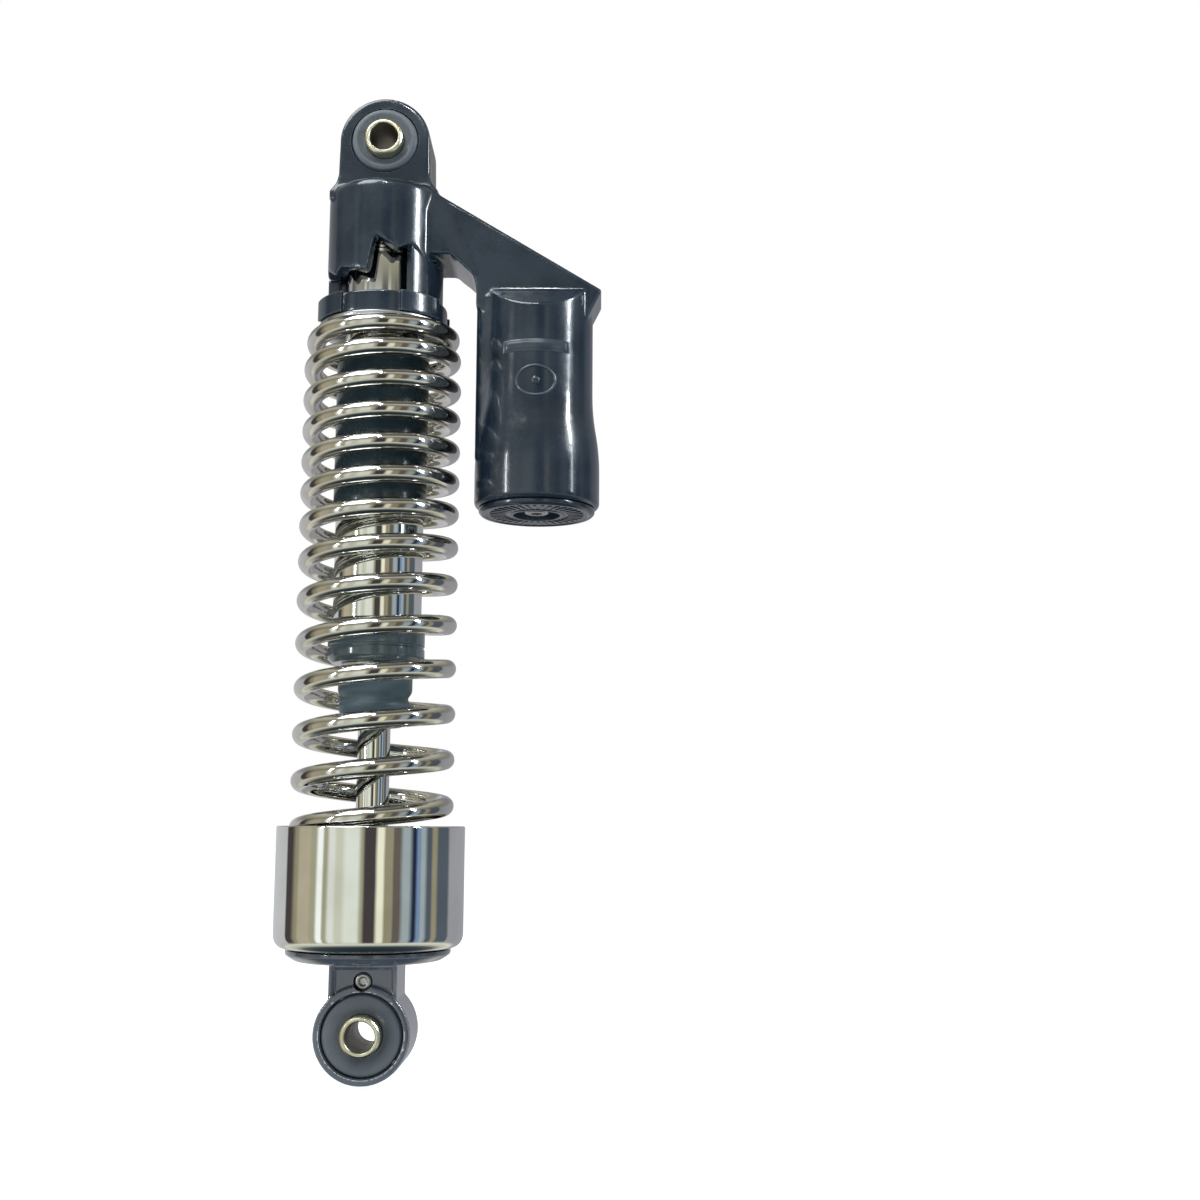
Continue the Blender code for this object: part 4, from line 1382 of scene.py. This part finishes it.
    def nut(self) -> None:
        """The thin lock nut, its corners turned off."""
        low, high = -303 * MM, -296.4 * MM
        deselect()
        bpy.ops.mesh.primitive_cylinder_add(
            vertices=6, radius=19 * MM / 2 / math.cos(math.pi / 6), depth=high - low,
            location=(0, 0, (low + high) / 2),
        )
        item = bpy.context.object
        item.name = "thin_nut"
        settle(item)
        corner = 10.4 * MM
        cone = [
            (corner - 1 * MM, high, 0),
            (corner + 1.5 * MM, high - 1.6 * MM, 0),
            (20 * MM, high - 1.6 * MM, 0),
            (20 * MM, high + 2 * MM, 0),
            (corner - 1 * MM, high + 2 * MM, 0),
        ]
        machine(item, [bore("nut_cut", self.rod_radius + 0.25 * MM, low - 2 * MM, high + 2 * MM),
                       lathe("nut_turned", cone, 96)])
        apply_modifier(item, "BEVEL", width=0.2 * MM, segments=2, limit_method="ANGLE")
        smooth(item)
        finish_piece(item, STEEL, Body.LOWER, "lock_nut")

    def build(self) -> None:
        """Model every piece."""
        self.rod()
        self.cup()
        self.seat()
        self.casting()
        self.pin()
        self.pad()
        self.nut()


@dataclass
class ReservoirEnd:
    """The reservoir's end cap and the filler screw in it."""

    x: float = 59.5 * MM
    radius: float = 18.2 * MM
    top: float = -129 * MM
    flange_top: float = -142.9 * MM
    face: float = -145.2 * MM
    flange: float = 22 * MM
    recess: float = 8.85 * MM
    screw: float = 3.5 * MM

    def cap(self) -> None:
        """The cap with its stepped rim, its sunk middle and plain raised ribs round it."""
        groove = 16.2 * MM
        corners = [
            (14 * MM, self.top, 0.3 * MM),
            (self.radius, self.top, 0.5 * MM),
            (self.radius, self.top - 4 * MM, 0),
            (groove, self.top - 4 * MM, 0),
            (groove, self.top - 7 * MM, 0),
            (self.radius, self.top - 7 * MM, 0),
            (self.radius, self.flange_top, 0),
            (self.flange, self.flange_top, 0.3 * MM),
            (self.flange, self.face + 0.9 * MM, 0.5 * MM),
            (self.flange - 1 * MM, self.face, 0.4 * MM),
            (self.flange - 2.2 * MM, self.face, 0.3 * MM),
            (self.flange - 2.6 * MM, self.face + 0.4 * MM, 0.3 * MM),
            (self.recess + 1.8 * MM, self.face + 0.4 * MM, 0.3 * MM),
            (self.recess + 1.4 * MM, self.face, 0.3 * MM),
            (self.recess, self.face, 0.4 * MM),
            (self.recess, self.face + 3 * MM, 0.6 * MM),
            (self.screw + 0.3 * MM, self.face + 3 * MM, 0.1 * MM),
            (self.screw + 0.3 * MM, self.top - 8 * MM, 0),
            (14 * MM, self.top - 8 * MM, 0.5 * MM),
        ]
        item = lathe("end_cap", corners, 128, (self.x, 0, 0))
        parts = [item]
        bars = 36
        inner, outer = self.recess + 3.2 * MM, self.flange - 4.2 * MM
        for i in range(bars):
            angle = math.tau * i / bars
            deselect()
            bpy.ops.mesh.primitive_cube_add(size=1)
            bar = bpy.context.object
            bar.scale = (1.1 * MM, outer - inner, 0.5 * MM)
            bar.rotation_euler = (0, 0, angle)
            middle = around((inner + outer) / 2, angle, self.face + 0.3 * MM)
            bar.location = middle + Vector((self.x, 0, 0))
            settle(bar)
            apply_modifier(bar, "BEVEL", width=0.14 * MM, segments=2)
            parts.append(bar)
        item = join(parts, "end_cap")
        smooth(item)
        finish_piece(item, CAP_PAINT, Body.HOUSING, "reservoir_cap")

    def filler(self) -> None:
        """The filler screw with its hexagon socket."""
        seat = self.face + 2.8 * MM
        corners = [
            (0, self.top - 6 * MM, 0),
            (self.screw, self.top - 6 * MM, 0.3 * MM),
            (self.screw, seat, 0),
            (4.6 * MM, seat, 0.2 * MM),
            (4.6 * MM, self.face + 1.2 * MM, 0.4 * MM),
            (4.1 * MM, self.face + 0.8 * MM, 0.2 * MM),
            (0, self.face + 0.8 * MM, 0),
        ]
        item = lathe("filler_plug", corners, 96, (self.x, 0, 0))
        deselect()
        bpy.ops.mesh.primitive_cylinder_add(
            vertices=6, radius=2.3 * MM, depth=4 * MM, location=(self.x, 0, self.face)
        )
        machine(item, [bpy.context.object])
        smooth(item)
        finish_piece(item, STEEL, Body.HOUSING, "filler_screw")

    def build(self) -> None:
        """Model both pieces."""
        self.cap()
        self.filler()


def dress_hidden_pieces() -> None:
    """Give the CAD nodes that stay their procedural finishes."""
    finishes = {
        ALUMINIUM: ("rod_guide", "piston", "floating_piston"),
        STEEL: ("bump_washer", "compression_shims", "rebound_shims", "piston_nut"),
        SEAL_RUBBER: ("oil_seal", "rod_wiper", "piston_band", "topout_bumper", "floating_seal", "cap_seal"),
    }
    for finish, nodes in finishes.items():
        for name in nodes:
            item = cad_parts[name]
            item.data.materials.clear()
            item.data.materials.append(SHELF.get(finish))
            log.info("%s: kept from the frame", name)


# ---------------------------------------------------------------------------------------------
# The studio
# ---------------------------------------------------------------------------------------------


@dataclass
class Studio:
    """Camera, floor, surroundings and lamps."""

    camera_place: tuple[float, float, float] = (0.084, -0.558, -0.2617)
    camera_pitch: float = math.radians(8.6)
    camera_lean: float = math.radians(-0.22)
    lens: float = 45.0
    floor_height: float = -0.3535

    def camera(self) -> None:
        """The camera, a little below the middle and looking slightly up."""
        data = bpy.data.cameras.new("camera")
        data.lens = self.lens
        data.sensor_width = 36
        camera = bpy.data.objects.new("camera", data)
        camera.location = self.camera_place
        camera.rotation_euler = (math.pi / 2 + self.camera_pitch, self.camera_lean, 0)
        bpy.context.scene.collection.objects.link(camera)
        bpy.context.scene.camera = camera

    def floor(self) -> None:
        """A plain pale floor."""
        deselect()
        bpy.ops.mesh.primitive_plane_add(size=12, location=(0, 0, self.floor_height))
        item = bpy.context.object
        item.name = "floor"
        material = bpy.data.materials.new("pale_floor")
        material.use_nodes = True
        shader = material.node_tree.nodes["Principled BSDF"]
        shader.inputs["Base Color"].default_value = (0.4, 0.4, 0.4, 1)
        shader.inputs["Roughness"].default_value = 0.9
        shader.inputs["Emission Color"].default_value = (0.86, 0.93, 1, 1)
        shader.inputs["Emission Strength"].default_value = 1.05
        item.data.materials.append(material)
        item.visible_glossy = False

    def surroundings(self) -> None:
        """A studio of upright panels all round, which the chrome mirrors, and a white background."""
        world = bpy.data.worlds.new("studio")
        bpy.context.scene.world = world
        world.use_nodes = True
        recipe = Recipe(world.node_tree)
        direction = recipe.add("ShaderNodeTexCoord", out="Generated")
        split = recipe.tree.nodes.new("ShaderNodeSeparateXYZ")
        recipe.tree.links.new(direction.socket, split.inputs[0])
        x, y, z = (Signal(recipe, split.outputs[i]) for i in range(3))
        bearing = recipe.add("ShaderNodeMath", {"operation": "ARCTAN2"}, {0: x, 1: 0 - y})
        facing = math.atan2(self.camera_place[0], -self.camera_place[1])
        turn = (bearing - facing) / math.tau + 1.5
        turn = recipe.add("ShaderNodeMath", {"operation": "FRACT"}, {0: turn})
        halves = []
        for start in (-HALF_TURN, 0):
            spans = [span for span in self.panels() if start <= span[0] < start + HALF_TURN]
            stops = [((edge - start) / HALF_TURN, colour) for *edges, colour in spans for edge in edges]
            place = turn * 2 - (0 if start < 0 else 1)
            halves.append(recipe.add("ShaderNodeValToRGB", {"stops": stops}, {"Fac": place}))
        panels = recipe.mix(turn.between(0.4999, 0.5001), *halves)
        tiers = recipe.add("ShaderNodeValToRGB", {"stops": self.tiers()}, {"Fac": z * 0.5 + 0.5})
        share = z.between(0.15, 0.55) + (0 - z).between(0.3, 0.5)
        room = recipe.mix(share, panels, tiers)
        seen = recipe.add("ShaderNodeLightPath", out="Is Camera Ray")
        colour = recipe.mix(seen, room, (1, 1, 1))
        background = world.node_tree.nodes["Background"]
        world.node_tree.links.new(colour.socket, background.inputs["Color"])

    @staticmethod
    def panels() -> list[tuple[float, float, tuple[float, float, float]]]:
        """Bearing of both edges of each panel, in degrees to the right of the camera, and colour."""
        sheet = (0.60, 0.60, 0.62)
        far_sheet = (0.37, 0.37, 0.40)
        black = (0.07, 0.06, 0.06)
        beige = (0.52, 0.46, 0.34)
        khaki = (0.42, 0.41, 0.29)
        cream = (1.0, 0.98, 0.78)
        white = (0.84, 0.85, 0.80)
        linen = (0.66, 0.68, 0.55)
        glass = (0.40, 0.47, 0.50)
        glare = (1.1, 1.12, 1.1)
        pale = (0.84, 0.88, 0.79)
        tan = (0.34, 0.31, 0.21)
        brown = (0.15, 0.13, 0.11)
        night = (0.02, 0.03, 0.06)
        blue = (0.22, 0.32, 0.52)
        slate = (0.10, 0.12, 0.15)
        return [
            (-HALF_TURN, -121, sheet), (-118, -108, black), (-101, -98, tan), (-94, -78, beige),
            (-75, -69, khaki), (-65, -60, glare), (-57.5, -54, khaki), (-50, -45, white),
            (-41, -35, linen), (-29, -15, pale), (-11, -10, khaki), (-6.5, -0.1, black),
            (0, 5, black), (9, 14.5, cream), (17.5, 26, tan), (28, 35, brown), (40, 47, glass),
            (52.5, 55.5, night), (59, 62, blue), (64, 68, glass), (73, 78, slate), (81, 86, tan),
            (90, 107, slate), (112, HALF_TURN, far_sheet),
        ]

    @staticmethod
    def tiers() -> list[tuple[float, tuple[float, float, float]]]:
        """Height, from nought straight below to one straight above, and colour of what is there."""
        return [
            (0.0, (0.02, 0.03, 0.04)),
            (0.09, (0.04, 0.055, 0.065)),
            (0.14, (0.12, 0.14, 0.14)),
            (0.19, (0.55, 0.55, 0.46)),
            (0.26, (0.8, 0.8, 0.7)),
            (0.32, (0.4, 0.39, 0.31)),
            (0.66, (0.14, 0.16, 0.19)),
            (0.72, (0.26, 0.25, 0.2)),
            (0.8, (0.44, 0.43, 0.33)),
            (0.87, (0.62, 0.61, 0.52)),
            (0.92, (0.08, 0.08, 0.08)),
            (1.0, (0.22, 0.22, 0.21)),
        ]

    def lamp(self, name: str, place: Sequence[float], target: Sequence[float], size: float, tall: float,
             power: float, colour: Sequence[float] = (1, 1, 1)) -> None:
        """An area lamp aimed at a point.

        Args:
            name: The lamp's name.
            place: Where it stands.
            target: What it looks at.
            size: Its width.
            tall: Its height.
            power: Its power in watts.
            colour: Its colour.
        """
        data = bpy.data.lights.new(name, "AREA")
        data.shape = "RECTANGLE"
        data.size = size
        data.size_y = tall
        data.energy = power
        data.color = tuple(colour)
        item = bpy.data.objects.new(name, data)
        item.location = place
        item.rotation_euler = (Vector(target) - Vector(place)).to_track_quat("-Z", "Y").to_euler()
        bpy.context.scene.collection.objects.link(item)

    def lamps(self) -> None:
        """A soft key above on the left, upright strips on both sides and a small one for sparkle."""
        middle = (0.02, 0, -0.14)
        daylight = (0.88, 0.95, 1.0)
        self.lamp("key", (-0.5, -0.62, 1.0), middle, 0.8, 0.8, 16, daylight)
        self.lamp("left_strip", (-0.66, -0.5, -0.02), middle, 0.03, 0.3, 1.2, daylight)
        self.lamp("right_strip", (0.88, -0.32, 0.36), middle, 0.08, 0.26, 5.5, daylight)
        self.lamp("right_low_strip", (0.88, -0.32, 0.1), middle, 0.05, 0.25, 0.5, daylight)
        self.lamp("sparkle", (0.02, -0.62, 0.5), middle, 0.05, 0.05, 1.0)

    def build(self) -> None:
        """Set the studio up."""
        self.camera()
        self.floor()
        self.surroundings()
        self.lamps()
        bpy.context.scene.view_settings.view_transform = "Standard"


def main() -> None:
    """Build the studio and every sub-assembly, in order."""
    logging.basicConfig(level=logging.INFO, format="%(name)s: %(message)s")
    Studio().build()
    UpperCasting().build()
    Eye("upper", 0, 13.1 * MM, Body.HOUSING, Body.UPPER_SLEEVE, domed=True).build()
    PreloadAdjuster().build()
    Damper().build()
    Spring().build()
    LowerEnd().build()
    Eye("lower", -335 * MM, 14.65 * MM, Body.LOWER, Body.LOWER_SLEEVE, domed=False).build()
    ReservoirEnd().build()
    dress_hidden_pieces()


if __name__ == "__main__":
    main()
